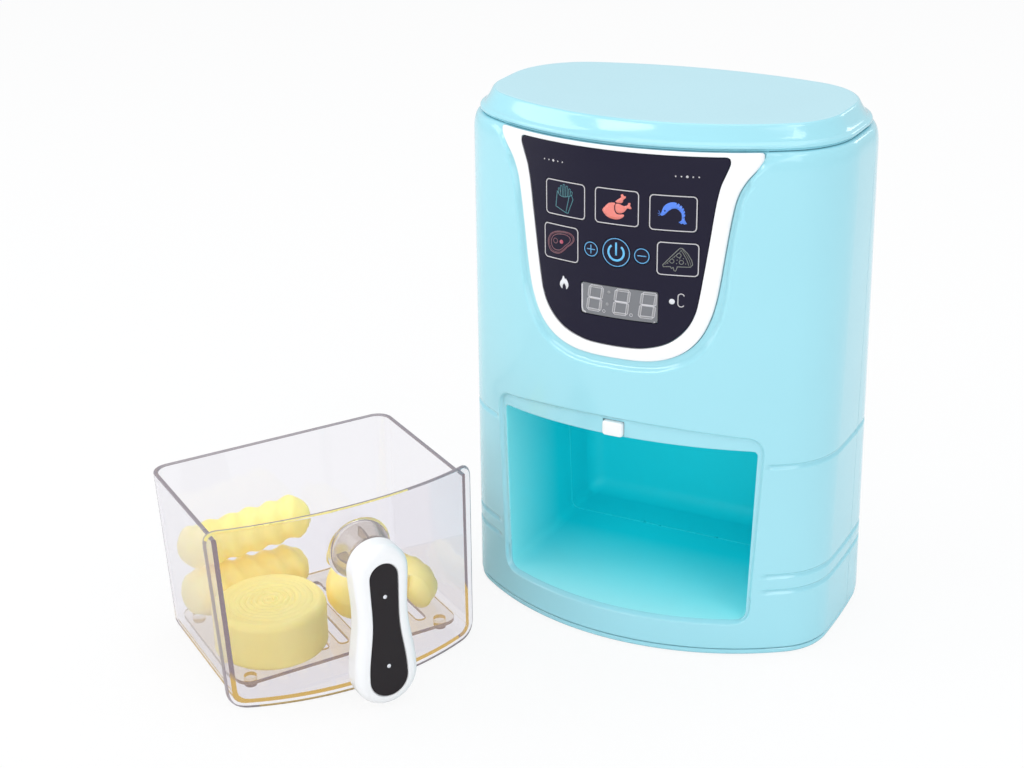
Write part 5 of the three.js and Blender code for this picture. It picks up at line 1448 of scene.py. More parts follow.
def drawer_panel():
    """The drawer's front panel, with rounded edges."""
    outline = panel_outline()
    grid = grid_over(outline, 4, 5)
    edge = 0.9
    levels = [(edge, 0), (0.45, 0.1), (0.12, 0.4), (0, 0.85), (0, 1.6), (0.12, 2.0), (0.45, 2.3)]
    levels.append((edge, PANEL_THICKNESS))
    inner = grown(outline, -edge)
    spots = grid[inside(grid, inner) & (distance_to(grid, inner) > 1)]
    flat, triangles = triangulated(spots, [(inner, True)], (), inner)
    parts = [upright(flat, panel_y(flat[:, 0], flat[:, 1], depth)) for depth in (0, PANEL_THICKNESS)]
    faces = [tuple(t) for t in triangles] + [tuple(t[::-1] + len(flat)) for t in triangles]
    start, count = 2 * len(flat), len(outline)
    for inset, depth in levels:
        loop = grown(outline, -inset)
        parts.append(upright(loop, panel_y(loop[:, 0], loop[:, 1], depth)))
    for level in range(len(levels) - 1):
        faces += band(start + level * count, start + (level + 1) * count, count)
    return outward(make_piece("drawer_panel", np.vstack(parts), faces))


def stem_ring(y, radius, count=64):
    return upright(ring_outline(0, STEM_HEIGHT, radius, count), y)


def stem_rod(name, levels, count=64):
    return stacked(name, [stem_ring(y, radius, count) for y, radius in levels])


def drawer_tub():
    """The clear drawer: a tub and its front panel, with a hollow stem that has a cross of ribs."""
    outside = [
        (TUB_LIFT, 4.6), (TUB_LIFT + 0.3, 3.0), (TUB_LIFT + 1.0, 1.6), (TUB_LIFT + 2.2, 0.5),
        (TUB_LIFT + 4, 0),
    ]
    outside += [(TUB_RIM - 0.7, 0), (TUB_RIM - 0.2, 0.2), (TUB_RIM, 0.65)]
    hollow = [(TUB_LIFT + 2, 6.6), (TUB_LIFT + 2.3, 4.8), (TUB_LIFT + 3.0, 3.5), (TUB_LIFT + 4.2, 2.4)]
    hollow += [(TUB_LIFT + 6, TUB_WALL), (TUB_RIM - 0.7, TUB_WALL), (TUB_RIM - 0.2, 1.8), (TUB_RIM, 1.35)]
    hollow += [(TUB_RIM + 12, 1.35)]
    tub = stacked("drawer_tub_skin", [tub_ring(z, inset) for z, inset in outside])
    carve(tub, behind_panel(PANEL_THICKNESS / 2), "INTERSECT")
    room = stacked("tub_hollow", [tub_ring(z, inset) for z, inset in hollow])
    carve(room, behind_panel(PANEL_THICKNESS), "INTERSECT")
    carve(tub, drawer_panel(), "UNION")
    carve(tub, room, "DIFFERENCE")
    tip = HANDLE_BACK + 0.3
    root = float(panel_y(0, STEM_HEIGHT, 0))
    cone = [(tip, 10.8), (tip + 0.25, 11.2), (tip + 0.7, 11.35), (root - 1.2, 13.7), (root - 0.4, 14.1)]
    carve(tub, stem_rod("stem", cone + [(root + 0.3, 14.9), (root + 1.4, 15.2)]), "UNION")
    bore = [(tip + 2.2, 9.1), (tip + 2.5, 9.5), (root, 12.0), (root + 6, 12.3)]
    carve(tub, stem_rod("stem_bore", bore), "DIFFERENCE")
    for half_x, half_z in ((10.7, 0.45), (0.45, 10.7)):
        low, high = STEM_HEIGHT - half_z, STEM_HEIGHT + half_z
        flat = np.array([(-half_x, low), (half_x, low), (half_x, high), (-half_x, high)])
        rib = stacked("rib", [upright(flat, y) for y in (tip + 1.4, root - 0.6)], False)
        carve(rib, stem_rod("rib_core", [(tip + 2.2, 6.4), (root + 6, 6.4)], 32), "DIFFERENCE")
        carve(tub, rib, "UNION")
    hole = [(tip - 2, SCREW_HOLE_RADIUS), (root, SCREW_HOLE_RADIUS)]
    carve(tub, stem_rod("screw_hole", hole, 24), "DIFFERENCE")
    return place_in_part(crease(tub, 38))


def grip_outline(top, bottom, top_radius, waist, bottom_radius):
    """A long rounded outline with a narrower waist."""
    high, low = top - top_radius, bottom + bottom_radius
    middle, pull = (high + low) / 2, (high - low) / 4
    knee = middle + pull / 2
    lower = [(bottom_radius, low), (bottom_radius, low + pull), (waist, middle - pull / 2), (waist, knee)]
    upper = [(waist, knee), (waist, middle + pull), (top_radius, high - pull / 2), (top_radius, high)]
    return resampled(np.vstack([
        arc(0, low, bottom_radius, math.pi, math.tau, 60),
        bezier(lower, 30),
        bezier(upper, 30),
        arc(0, high, top_radius, 0, math.pi, 60),
        bezier([(-x, z) for x, z in reversed(upper)], 30),
        bezier([(-x, z) for x, z in reversed(lower)], 30),
    ]), 180)


def grip_layers(outline, profile):
    return [upright(grown(outline, -inset), y) for inset, y in profile]


def handle():
    """The white grip, with a recess for its dark strip and a screw hole."""
    grip = grip_outline(top=82, bottom=2.5, top_radius=13, waist=12, bottom_radius=15)
    quarter = np.linspace(0, math.pi / 2, 9)
    front = [(4.6 * (1 - math.cos(t)), HANDLE_FRONT + 4.6 * (1 - math.sin(t))) for t in quarter]
    back = [(2.0 * (1 - math.sin(t)), HANDLE_BACK - 2.0 * (1 - math.cos(t))) for t in quarter]
    body = stacked("handle_grip", grip_layers(grip, back + front))
    recess = grip_outline(top=74.2, bottom=7.5, top_radius=6.9, waist=6.5, bottom_radius=9.3)
    levels = [(-0.6, -2), (-0.5, -0.02), (-0.15, 0.12), (0, 0.35), (0, 0.8)]
    profile = [(inset, HANDLE_FRONT + depth) for inset, depth in levels]
    carve(body, stacked("recess", grip_layers(recess, profile)), "DIFFERENCE")
    hole = [(HANDLE_BACK - 5.3, SCREW_HOLE_RADIUS), (HANDLE_BACK + 2, SCREW_HOLE_RADIUS)]
    carve(body, stem_rod("screw_hole", hole, 24), "DIFFERENCE")
    return place_in_part(crease(body, 38))


def handle_inlay():
    outline = grip_outline(top=73.9, bottom=7.8, top_radius=6.6, waist=6.2, bottom_radius=9)
    face = HANDLE_FRONT + 0.1
    profile = [(0, face + 0.6), (0, face + 0.25), (0.1, face + 0.08), (0.35, face)]
    return place_in_part(crease(stacked("handle_inlay_strip", grip_layers(outline, profile)), 50))


def inlay_dots():
    dots = []
    for z in (58, 23):
        disc = ring_outline(0, z, 0.95, 24)
        dots.append(stacked("dot", [upright(disc, HANDLE_FRONT + depth) for depth in (0.12, 0.05)]))
    return place_in_part(joined("inlay_dots", dots))


def crisper_rack():
    """A clear rack: a plate with a row of slots on four legs."""
    outline = rounded_box(-54.9, 54.9, 1.6, 78.9, 7, 8, 12)
    skin = stacked("rack_plate", [lying(outline, z) for z in (8.1, 9.9)], False)
    opening = rounded_box(-2.6, 2.6, 10.4, 70.1, 2.3, 6, 10)
    slot = stacked("opening", [lying(opening, z) for z in (6, 12)], False)
    carve(skin, outward(row_of(slot, 9, 10, clear_rack)), "DIFFERENCE")
    edge = skin.modifiers.new("edge", "BEVEL")
    edge.width = 0.35 * MM
    edge.segments = 3
    edge.angle_limit = math.radians(60)
    settle(skin)
    for x in (-48, 48):
        for y in (8.5, 72):
            ring = ring_outline(x, y, 2.9, 32)
            carve(skin, stacked("leg", [lying(ring, z) for z in (4.2, 9.0)]), "UNION")
    return place_in_part(crease(skin, 40))


def ripple(values, seed):
    """A smooth made-up waviness with a fixed seed."""
    rng = np.random.default_rng(seed)
    total = np.zeros(len(values))
    for octave in range(1, 5):
        for _ in range(5):
            direction = rng.normal(size=values.shape[1])
            direction /= np.linalg.norm(direction)
            phase = rng.uniform(0, math.tau)
            total += np.sin(values @ direction * octave * 0.28 + phase) / octave / 5
    return total


def food_roll():
    """A rolled slice: a low drum whose top shows its winding."""
    floor, top = 10.35, 33.7
    turn = np.linspace(0, math.tau, 200, endpoint=False)
    corner = [(23.6 + 2.2 * math.sin(t), 2.2 - 2.2 * math.cos(t)) for t in np.linspace(0, math.pi / 2, 7)]
    profile = [(0.001, floor), (20, floor)] + [(r, floor + h) for r, h in corner]
    profile += [(25.8, z) for z in np.linspace(floor + 4, top - 4.4, 8)]
    quarter = np.linspace(0, math.pi / 2, 10)
    profile += [(22.2 + 3.6 * math.cos(t), top - 3.6 + 3.6 * math.sin(t)) for t in quarter]
    profile += [(r, top) for r in np.linspace(21.6, 0.3, 96)]
    middle_x, middle_y = -29, 27
    pitch, fold_depth, sag = 2.7, 0.75, 0.9
    layers = []
    for r, z in profile:
        around = np.column_stack([np.cos(turn) * r, np.sin(turn) * r, np.full(200, z)])
        wave = ripple(around, 3)
        coil = ((r + 0.7 * wave) / pitch - turn / math.tau) % 1.0
        fade = 0.35 + 0.65 * ease((17 - r) / 9)
        fold = np.exp(-(((coil - 0.5) / 0.2) ** 2)) * ease((22 - r) / 2)
        winding = -fold_depth * fade * fold * (z > top - 0.01)
        lip = -sag * ease((r - 17) / 4) * (0.5 + 0.5 * wave) * (z > top - 0.01)
        r_here = r - (0.25 + 0.3 * wave) * (r > 20)
        dent = np.minimum(winding + lip, 0)
        x, y = middle_x + np.cos(turn) * r_here, middle_y + np.sin(turn) * r_here
        layers.append(np.column_stack([x, y, z + dent]))
    return place_in_part(stacked("rolled_slice", layers))


def log_piece(name, radius, length, middle, turn, tilt, seed):
    """A rolled strip of food with soft folds."""
    steps, sides = 110, 72
    angles = np.linspace(0, math.tau, sides, endpoint=False)
    layers = []
    for share in np.linspace(0.0, 1.0, steps):
        place = (share - 0.5) * length
        cap = min(place + length / 2, length / 2 - place)
        round_off = math.sqrt(max(0.0, 1 - max(0.0, 1 - cap / (radius * 0.85)) ** 2))
        r = max(radius * round_off, 0.05)
        at_points = np.column_stack([np.full(sides, place), np.cos(angles) * r, np.sin(angles) * r])
        folds = 0.055 * np.sin(place * 0.62 + 1.3 * np.sin(angles * 2 + seed)) + 0.05 * ripple(at_points, seed)
        width = r * (0.93 + folds)
        along = np.full(sides, place * 0.985)
        layers.append(np.column_stack([along, np.cos(angles) * width, np.sin(angles) * width]))
    piece = stacked(name, layers)
    tilted = Matrix.Rotation(math.radians(turn), 4, "Z") @ Matrix.Rotation(-math.radians(tilt), 4, "Y")
    piece.data.transform(Matrix.Translation(Vector(middle) * MM) @ tilted)
    return place_in_part(piece)


def food_drumstick():
    """A drumstick that lies on the rack: a plump end that narrows to the bone's knob."""
    radius = 15
    profile = smooth_path(
        [
            (0.05, 0.2), (6, 1.2), (11, 4.5), (14, 9.5), (14.6, 15), (13.2, 22), (9.4, 30), (5.6, 36),
            (4.5, 41.5), (5.0, 45), (6.1, 47.5), (5.6, 50), (3.2, 51.4), (0.05, 51.7),
        ],
        6,
    )
    sides = 96
    angles = np.linspace(0, math.tau, sides, endpoint=False)
    layers = []
    for r, along in profile:
        spots = np.column_stack([np.cos(angles) * r, np.full(sides, along), np.sin(angles) * r])
        creases = 0.12 * (1 + np.sin(angles * 9 + along * 0.5)) * min(1, r / 8)
        width = r * (0.97 + 0.03 * ripple(spots, 11)) - creases
        layers.append(np.column_stack([np.cos(angles) * width, np.full(sides, along), np.sin(angles) * width]))
    piece = stacked("drumstick", layers)
    middle = Vector((12, 29 - radius, RACK_TOP + radius)) * MM
    piece.data.transform(Matrix.Translation(middle) @ Matrix.Rotation(-math.radians(10), 4, "Z"))
    return place_in_part(piece)


def food_shrimp():
    """A curled shrimp: overlapping shell rings on a bent body."""
    steps, sides = 150, 64
    wide, long, head, taper = 8, 16, 9.2, 2.2
    angles = np.linspace(0, math.tau, sides, endpoint=False)
    layers = []
    for share in np.linspace(0, 1, steps):
        bend = math.pi * (share * 1.15 - 0.6)
        centre = np.array([41 + wide * math.cos(bend), 36 + long * math.sin(bend)])
        tangent = np.array([-wide * math.sin(bend), long * math.cos(bend)])
        tangent /= np.linalg.norm(tangent)
        radius = head - taper * share
        ends = min(share, 1 - share) / 0.16
        round_off = math.sqrt(max(0.0, 1 - max(0.0, 1 - ends) ** 2))
        wave = (share * 6.5) % 1.0
        r = max(radius * round_off * (0.86 + 0.12 * wave), 0.05)
        height = RACK_TOP + radius + (head - radius) * 0.4
        outward_x, outward_y = tangent[1], -tangent[0]
        layers.append(np.column_stack([
            centre[0] + outward_x * np.cos(angles) * r,
            centre[1] + outward_y * np.cos(angles) * r,
            height + np.sin(angles) * r,
        ]))
    return place_in_part(stacked("curled_shrimp", layers))


# Finishes

TONE = 0.03
GRAIN_IN_GLOSS = 5
LAST_CLEAR_BOUNCE = 7.5


def new_material(name):
    """A material, the two short ways to work on its tree, and its plain shader."""
    material = bpy.data.materials.new(name)
    material.use_nodes = True
    add, feed = node_maker(material.node_tree)
    return material, add, feed, material.node_tree.nodes["Principled BSDF"]


def opaque(colour):
    return (*colour, 1)


def plastic(name, colour, roughness, coat=0.0, grain=0.02, wave=0.0, gleam=0.5):
    """Moulded plastic: a fine grain, a slow waviness and a slight change of tone."""
    material, add, feed, shader = new_material(name)
    place = add("ShaderNodeTexCoord").outputs["Object"]
    fine = add("ShaderNodeTexNoise", Scale=900, Detail=3, Vector=place).outputs["Fac"]
    slow = add("ShaderNodeTexNoise", Scale=14, Detail=1.5, Vector=place).outputs["Fac"]
    duller, brighter = [c * (1 - TONE) for c in colour], [min(1, c * (1 + TONE)) for c in colour]
    shade = add("ShaderNodeMixRGB", _0=slow, _1=opaque(duller), _2=opaque(brighter)).outputs[0]
    spread = GRAIN_IN_GLOSS * grain
    least, most = roughness * (1 - spread), roughness * (1 + spread)
    gloss = add("ShaderNodeMapRange", Value=fine, To_Min=least, To_Max=most).outputs["Result"]
    relief = add("ShaderNodeBump", Strength=grain, Distance=0.0002, Height=fine).outputs["Normal"]
    if wave:
        swell = add("ShaderNodeBump", Strength=wave, Distance=0.004, Height=slow, Normal=relief)
        relief = swell.outputs["Normal"]
    feed(shader, Base_Color=opaque(colour), Roughness=roughness, IOR=1.5)
    feed(shader, Coat_Weight=coat, Coat_Roughness=0.04, Specular_IOR_Level=gleam)
    feed(shader, Base_Color=shade, Roughness=gloss, Normal=relief)
    return material


def cavity_plastic(name, near, deep):
    """The drawer room's plastic, with painted bounce light: its colour deepens from the mouth inwards, as light
    bouncing in it would make it, and a faint painted cyan glow lifts it.
    """
    material = plastic(name, near, 0.5, grain=0.03, wave=0.03, gleam=0.3)
    add, feed = node_maker(material.node_tree)
    # The painted bounce light: paler near the mouth, a deeper cyan further in
    spot = add("ShaderNodeTexCoord").outputs["Object"]
    along = add("ShaderNodeSeparateXYZ", _0=spot).outputs["Y"]
    share = add("ShaderNodeMapRange", Value=along, From_Min=-0.062, From_Max=0.005).outputs["Result"]
    shade = add("ShaderNodeMixRGB", _0=share, _1=opaque(near), _2=opaque(deep)).outputs[0]
    shader = material.node_tree.nodes["Principled BSDF"]
    # A faint cyan glow, painted in for the light that bounces in the room
    feed(shader, Base_Color=shade, Emission_Color=(0.0, 0.8, 0.9, 1), Emission_Strength=0.025)
    return material


def clear_styrene(name, tint, roughness, streak, clearness=1.0):
    """Clear moulded styrene with faint flow streaks. Light that has wandered long inside the walls ends in a
    painted glow, a dull grey and amber near the floor, as the real walls look, and not as black."""
    material, add, feed, shader = new_material(name)
    place = add("ShaderNodeTexCoord").outputs["Object"]
    stretched = add("ShaderNodeMapping", Vector=place, Scale=(1, 1, 0.15)).outputs["Vector"]
    flow = add("ShaderNodeTexNoise", Scale=60, Detail=2, Vector=stretched).outputs["Fac"]
    gloss = add("ShaderNodeMapRange", Value=flow, To_Min=roughness * 0.5, To_Max=roughness * 1.5)
    relief = add("ShaderNodeBump", Strength=streak, Distance=0.0004, Height=flow).outputs["Normal"]
    feed(shader, Base_Color=opaque(tint), Transmission_Weight=clearness, IOR=1.36)
    feed(shader, Roughness=gloss.outputs["Result"], Normal=relief)
    # After many bounces a painted glow takes over: amber low down, dull grey higher up
    path = add("ShaderNodeLightPath").outputs
    bounces = {"_0": path["Glossy Depth"], "_1": 2, "_2": path["Ray Depth"]}
    bounce_count = add("ShaderNodeMath", {"operation": "MULTIPLY_ADD"}, **bounces).outputs[0]
    late = add("ShaderNodeMath", {"operation": "GREATER_THAN"}, _0=bounce_count, _1=LAST_CLEAR_BOUNCE).outputs[0]
    height = add("ShaderNodeSeparateXYZ", _0=place).outputs["Z"]
    rise = add("ShaderNodeMapRange", Value=height, From_Min=0.004, From_Max=0.009).outputs["Result"]
    shade = add("ShaderNodeMixRGB", _0=rise, _1=(0.66, 0.44, 0.14, 1), _2=(0.3, 0.24, 0.26, 1)).outputs[0]
    painted_glow = add("ShaderNodeEmission", Color=shade).outputs[0]
    mix = add("ShaderNodeMixShader", _0=late, _1=shader.outputs[0], _2=painted_glow).outputs[0]
    feed(material.node_tree.nodes["Material Output"], Surface=mix)
    return material


def play_food(name, colour, deep):
    """Soft translucent plastic, paler where it is thin, with a faint painted yellow glow."""
    material, add, feed, shader = new_material(name)
    place = add("ShaderNodeTexCoord").outputs["Object"]
    cloud = add("ShaderNodeTexNoise", Scale=55, Detail=4, Vector=place).outputs["Fac"]
    shade = add("ShaderNodeMixRGB", _0=cloud, _1=opaque(deep), _2=opaque(colour)).outputs[0]
    fine = add("ShaderNodeTexNoise", Scale=420, Detail=5, Vector=place).outputs["Fac"]
    relief = add("ShaderNodeBump", Strength=0.25, Distance=0.0004, Height=fine).outputs["Normal"]
    feed(shader, Base_Color=shade, Roughness=0.42, Normal=relief)
    feed(shader, Subsurface_Weight=0.55, Subsurface_Radius=(1.0, 0.75, 0.25), Subsurface_Scale=0.006)
    # A painted glow that stands in for the light that the food lets through
    feed(shader, Emission_Color=(1.0, 0.8, 0.32, 1), Emission_Strength=0.14)
    return material


def ink(name, colour):
    """Printed ink with a fine speck."""
    material, add, feed, shader = new_material(name)
    place = add("ShaderNodeTexCoord").outputs["Object"]
    speck = add("ShaderNodeTexNoise", Scale=1500, Vector=place).outputs["Fac"]
    darker = [c * 0.86 for c in colour]
    shade = add("ShaderNodeMixRGB", _0=speck, _1=opaque(darker), _2=opaque(colour)).outputs[0]
    feed(shader, Base_Color=shade, Roughness=0.3, Coat_Weight=0.6)
    return material


def metal(name, colour, roughness):
    """Plated steel whose gloss changes a little."""
    material, add, feed, shader = new_material(name)
    place = add("ShaderNodeTexCoord").outputs["Object"]
    brush = add("ShaderNodeTexNoise", Scale=700, Vector=place).outputs["Fac"]
    gloss = add("ShaderNodeMapRange", Value=brush, To_Min=roughness * 0.7, To_Max=roughness * 1.3)
    feed(shader, Metallic=1.0, Base_Color=opaque(colour), Roughness=gloss.outputs["Result"])
    return material


aqua = plastic("aqua_moulding", (0.35, 0.72, 0.81), 0.15, coat=0.5, grain=0.03, wave=0.05)
# The lid's flat top: rougher than the sides, and paler in colour. The paler colour is a painted sheen of the white
# surroundings
aqua_top = plastic("aqua_top", (0.46, 0.71, 0.775), 0.5, grain=0.06, wave=0.03)
aqua_inside = cavity_plastic("aqua_inside", (0.44, 0.92, 0.955), (0.01, 0.77, 0.85))
white = plastic("white_moulding", (0.9, 0.9, 0.905), 0.22, coat=0.2, wave=0.03)
navy = plastic("navy_film", (0.007, 0.0055, 0.022), 0.26, grain=0.004, wave=0.01, gleam=0.22)
black = plastic("black_moulding", (0.013, 0.009, 0.011), 0.35, grain=0.05, gleam=0.25)
board_green = plastic("solder_mask", (0.02, 0.14, 0.05), 0.4)
jacket = plastic("cell_jacket", (0.05, 0.2, 0.08), 0.3, coat=0.3)
sleeve = plastic("wire_sleeve", (0.5, 0.03, 0.02), 0.5)
display_grey = plastic("display_block", (0.16, 0.165, 0.18), 0.2, coat=0.6)
clear = clear_styrene("clear_styrene", (0.93, 0.92, 0.95), 0.02, streak=0.04)
# The rims and edges of the same clear moulding: a painted grey shade, and painted yellow and amber reflections of
# food and floor
clear_edge = clear_styrene("clear_edge", (0.36, 0.32, 0.35), 0.3, streak=0.04, clearness=0.3)
yellow_edge = clear_styrene("yellow_edge", (0.88, 0.78, 0.3), 0.3, streak=0.04, clearness=0.3)
amber_edge = clear_styrene("amber_edge", (0.72, 0.5, 0.14), 0.3, streak=0.04, clearness=0.3)
clear_stem = clear_styrene("clear_stem", (0.72, 0.66, 0.63), 0.12, streak=0.3, clearness=0.8)
# The rack's warm tint is a painted reflection of the food lying on it
clear_rack = clear_styrene("clear_rack", (0.93, 0.89, 0.82), 0.04, streak=0.12)
food = play_food("play_food", (1.0, 0.88, 0.38), (1.0, 0.79, 0.27))
steel = metal("zinc_plate", (0.55, 0.56, 0.58), 0.3)
nickel = metal("nickel_plate", (0.6, 0.61, 0.62), 0.2)

line_grey = ink("line_grey", (0.62, 0.6, 0.62))
print_white = ink("print_white", (0.85, 0.86, 0.9))
print_teal = ink("print_teal", (0.03, 0.2, 0.24))
print_coral = ink("print_coral", (0.88, 0.23, 0.19))
print_blue = ink("print_blue", (0.07, 0.23, 0.9))
print_red = ink("print_red", (0.15, 0.035, 0.06))
print_rose = ink("print_rose", (0.5, 0.06, 0.12))
print_sky = ink("print_sky", (0.12, 0.55, 0.95))
print_olive = ink("print_olive", (0.16, 0.17, 0.15))
print_cyan = ink("print_cyan", (0.1, 0.4, 0.75))
bar_grey = ink("bar_grey", (0.3, 0.3, 0.31))
wall_grey = ink("wall_grey", (0.62, 0.61, 0.64))

SLOT_MATERIALS = {
    "aqua_plastic": aqua,
    "white_plastic": white,
    "navy_plastic": navy,
    "display_glass": display_grey,
    "dark_plastic": black,
    "circuit_board": board_green,
    "screw_steel": steel,
    "contact_steel": nickel,
    "cell_jacket": jacket,
    "wire_sleeve": sleeve,
    "clear_plastic": clear,
    "food_plastic": food,
}


def finish_cad_nodes():
    for part in frame["record"]["subparts"]:
        node = frame["nodes"][part["node"]]
        node.data.materials.clear()
        node.data.materials.append(SLOT_MATERIALS[part["material_slot"]])


# The toy


def line_room(shell):
    """Gives the walls of the drawer's room in the front shell the room's plastic, with its painted bounce light."""
    shell.data.materials.append(aqua_inside)
    centres = np.array([face.center for face in shell.data.polygons]) / MM
    bow = FRONT_BOW - np.sqrt(FRONT_BOW**2 - np.clip(centres[:, 0], -80, 80) ** 2) - BASE_FRONT
    behind = centres[:, 1] - bow
    past_lip, deep = 3.4, 12
    within = np.abs(centres[:, 0]) < MOUTH_HALF_TOP + 0.3
    within &= (centres[:, 2] > SILL - 0.4) & (centres[:, 2] < MOUTH_CROWN + 0.4) & (behind > past_lip)
    seen = centres[:, [0, 2]]
    mouth = resampled(mouth_outline, 260)
    within &= (distance_to(seen, mouth) < 0.12) | inside(seen, mouth) | (behind > deep)
    for face, room in zip(shell.data.polygons, within):
        if room:
            face.material_index = 1


def edge_rims(tub):
    """Gives the tub's rim and its front panel's edges a painted grey shade, and the stem a greyer, hazier clear.
    The panel's edge has a painted yellow reflection at its top left and a painted amber one at its foot, where food
    and floor shine into it."""
    for finish in (clear_edge, yellow_edge, amber_edge, clear_stem):
        tub.data.materials.append(finish)
    centres = np.array([face.center for face in tub.data.polygons]) / MM
    normals = np.array([face.normal for face in tub.data.polygons])
    x, y = centres[:, 0] - DRAWER_PLACE[0], centres[:, 1] - DRAWER_PLACE[1]
    cos, sin = math.cos(DRAWER_TURN), math.sin(DRAWER_TURN)
    across, along, z = x * cos + y * sin, y * cos - x * sin, centres[:, 2]
    facing = normals[:, 1] * cos - normals[:, 0] * sin
    behind = along - panel_y(np.clip(across, -70, 70), z, 0)
    to_edge = distance_to(np.column_stack([across, z]), panel_outline())
    edge_width, rim_height, stem_radius = 0.9, 0.72, 15.4
    on_edge = (behind < PANEL_THICKNESS + 0.2) & (to_edge < edge_width) & (np.abs(facing) < 0.85)
    on_rim = (behind >= PANEL_THICKNESS - 0.1) & (z > TUB_RIM - rim_height) & (normals[:, 2] > 0.25)
    on_stem = (np.hypot(across, z - STEM_HEIGHT) < stem_radius) & (behind < -0.3)
    # Slots: plain clear, painted grey shade on rims and edges, painted yellow and amber reflections, and the stem
    plain, dull, yellow, amber, stem = range(5)
    kind = np.where(on_edge | on_rim, dull, plain)
    kind[on_edge & (z > 84) & (across < 26) & (facing < -0.2)] = yellow
    kind[on_edge & (z < 9) & (across > -50) & (across < 8)] = amber
    kind[on_stem] = stem
    for face, slot in zip(tub.data.polygons, kind):
        face.material_index = int(slot)


def dress_housing():
    shell = crease(thicken(outward(front_shell(), (0, 0, 120)), WALL), 45)
    finish_piece(shell, "housing", aqua, "aqua_plastic", "front_shell")
    line_room(shell)
    back, wells = rear_shell()
    back = joined("rear_shell_skin", [back, *wells])
    crease(back, 40)
    finish_piece(back, "housing", aqua, "aqua_plastic", "rear_shell")
    finish_piece(rear_cavity(), "housing", aqua_inside, "aqua_plastic", "rear_shell")
    cover = finish_piece(top_cover(), "housing", aqua, "aqua_plastic", "top_cover")
    # The flat top gets the paler copy of the aqua, whose paleness is a painted sheen
    cover.data.materials.append(aqua_top)
    for face in cover.data.polygons:
        if face.center.z > 0.24992 and face.normal.z > 0.99:
            face.material_index = 1
    finish_piece(base_plate(), "housing", aqua, "aqua_plastic", "base_plate")
    finish_piece(bezel_ring(), "housing", white, "white_plastic", "bezel_ring")
    finish_piece(control_overlay(), "housing", navy, "navy_plastic", "control_overlay")
    finish_piece(battery_door(), "housing", aqua, "aqua_plastic", "battery_cover")
    finish_piece(display_block(), "housing", display_grey, "display_glass", "display_window")
    finish_piece(switch_tab(), "switch_tab", white, "white_plastic", "drawer_switch_tab")
    case_screw = {"head_radius": 2.9, "head_height": 2, "shank_radius": 1.25}
    screw_set("shell_screws", [f"shell_screw_{i}" for i in range(1, 7)], axis=1, side=1, **case_screw)
    screw_set("base_screws", [f"base_screw_{i}" for i in range(1, 5)], axis=2, side=-1, **case_screw)
    small_screw = {"head_radius": 2.4, "head_height": 1.6, "shank_radius": 1}
    screw_set("door_screw", ["battery_cover_screw"], axis=1, side=1, **small_screw)


def dress_panel():
    for name in KEYS:
        finish_piece(key_cap(name), name, navy, "navy_plastic", name)
    for name in ("key_fries", "key_roast", "key_shrimp", "key_steak", "key_pizza"):
        key_frame_print(name).piece(name + "_frame", name, line_grey, "navy_plastic")
    fries_print().piece("fries_print", "key_fries", print_teal, "navy_plastic")
    roast_print().piece("roast_print", "key_roast", print_coral, "navy_plastic")
    shrimp_print().piece("shrimp_print", "key_shrimp", print_blue, "navy_plastic")
    steak_print().piece("steak_print", "key_steak", print_red, "navy_plastic")
    pizza_print().piece("pizza_print", "key_pizza", print_olive, "navy_plastic")
    x, z = KEYS["key_steak"][:2]
    bright_dot(x + 0.2, z + 0.4, 0.95).piece("steak_dot", "key_steak", print_rose, "navy_plastic")
    power_ring_print().piece("power_ring", "key_power", print_cyan, "navy_plastic")
    power_symbol_print().piece("power_symbol", "key_power", print_sky, "navy_plastic")
    small_key_print("key_plus", True).piece("plus_print", "key_plus", print_cyan, "navy_plastic")
    small_key_print("key_minus", False).piece("minus_print", "key_minus", print_cyan, "navy_plastic")
    flame_print().piece("flame_print", "housing", print_white, "navy_plastic")
    bright_dot(26.4, 173.9, 1.25).piece("degree_print", "housing", print_white, "navy_plastic")
    celsius_print().piece("celsius_print", "housing", line_grey, "navy_plastic")
    dot_row(-30.4, 229.8).piece("left_dots", "housing", line_grey, "navy_plastic")
    dot_row(31.6, 229.5).piece("right_dots", "housing", line_grey, "navy_plastic")
    walls, bars = digit_prints()
    walls.piece("digit_walls", "housing", wall_grey, "display_glass")
    bars.piece("digit_bars", "housing", bar_grey, "display_glass")


def dress_drawer():
    tub = finish_piece(drawer_tub(), "drawer", clear, "clear_plastic", "drawer_tub")
    edge_rims(tub)
    finish_piece(handle(), "drawer", white, "white_plastic", "handle")
    finish_piece(handle_inlay(), "drawer", black, "dark_plastic", "handle_inlay")
    finish_piece(inlay_dots(), "drawer", print_white, "white_plastic")
    finish_piece(crisper_rack(), "rack", clear_rack, "clear_plastic", "crisper_rack")
    finish_piece(food_roll(), "food_roll", food, "food_plastic", "food_roll")
    low = log_piece("lower_log", 12.5, 63.6, (-25, 67.5, 22.9), turn=0, tilt=0, seed=5)
    finish_piece(low, "food_log", food, "food_plastic", "food_log")
    high = log_piece("upper_log", 10.9, 65.6, (-23.5, 67.5, 48.7), turn=-5, tilt=6, seed=8)
    finish_piece(high, "food_top_log", food, "food_plastic", "food_top_log")
    finish_piece(food_drumstick(), "food_drumstick", food, "food_plastic", "food_drumstick")
    finish_piece(food_shrimp(), "food_shrimp", food, "food_plastic", "food_shrimp")


# Studio


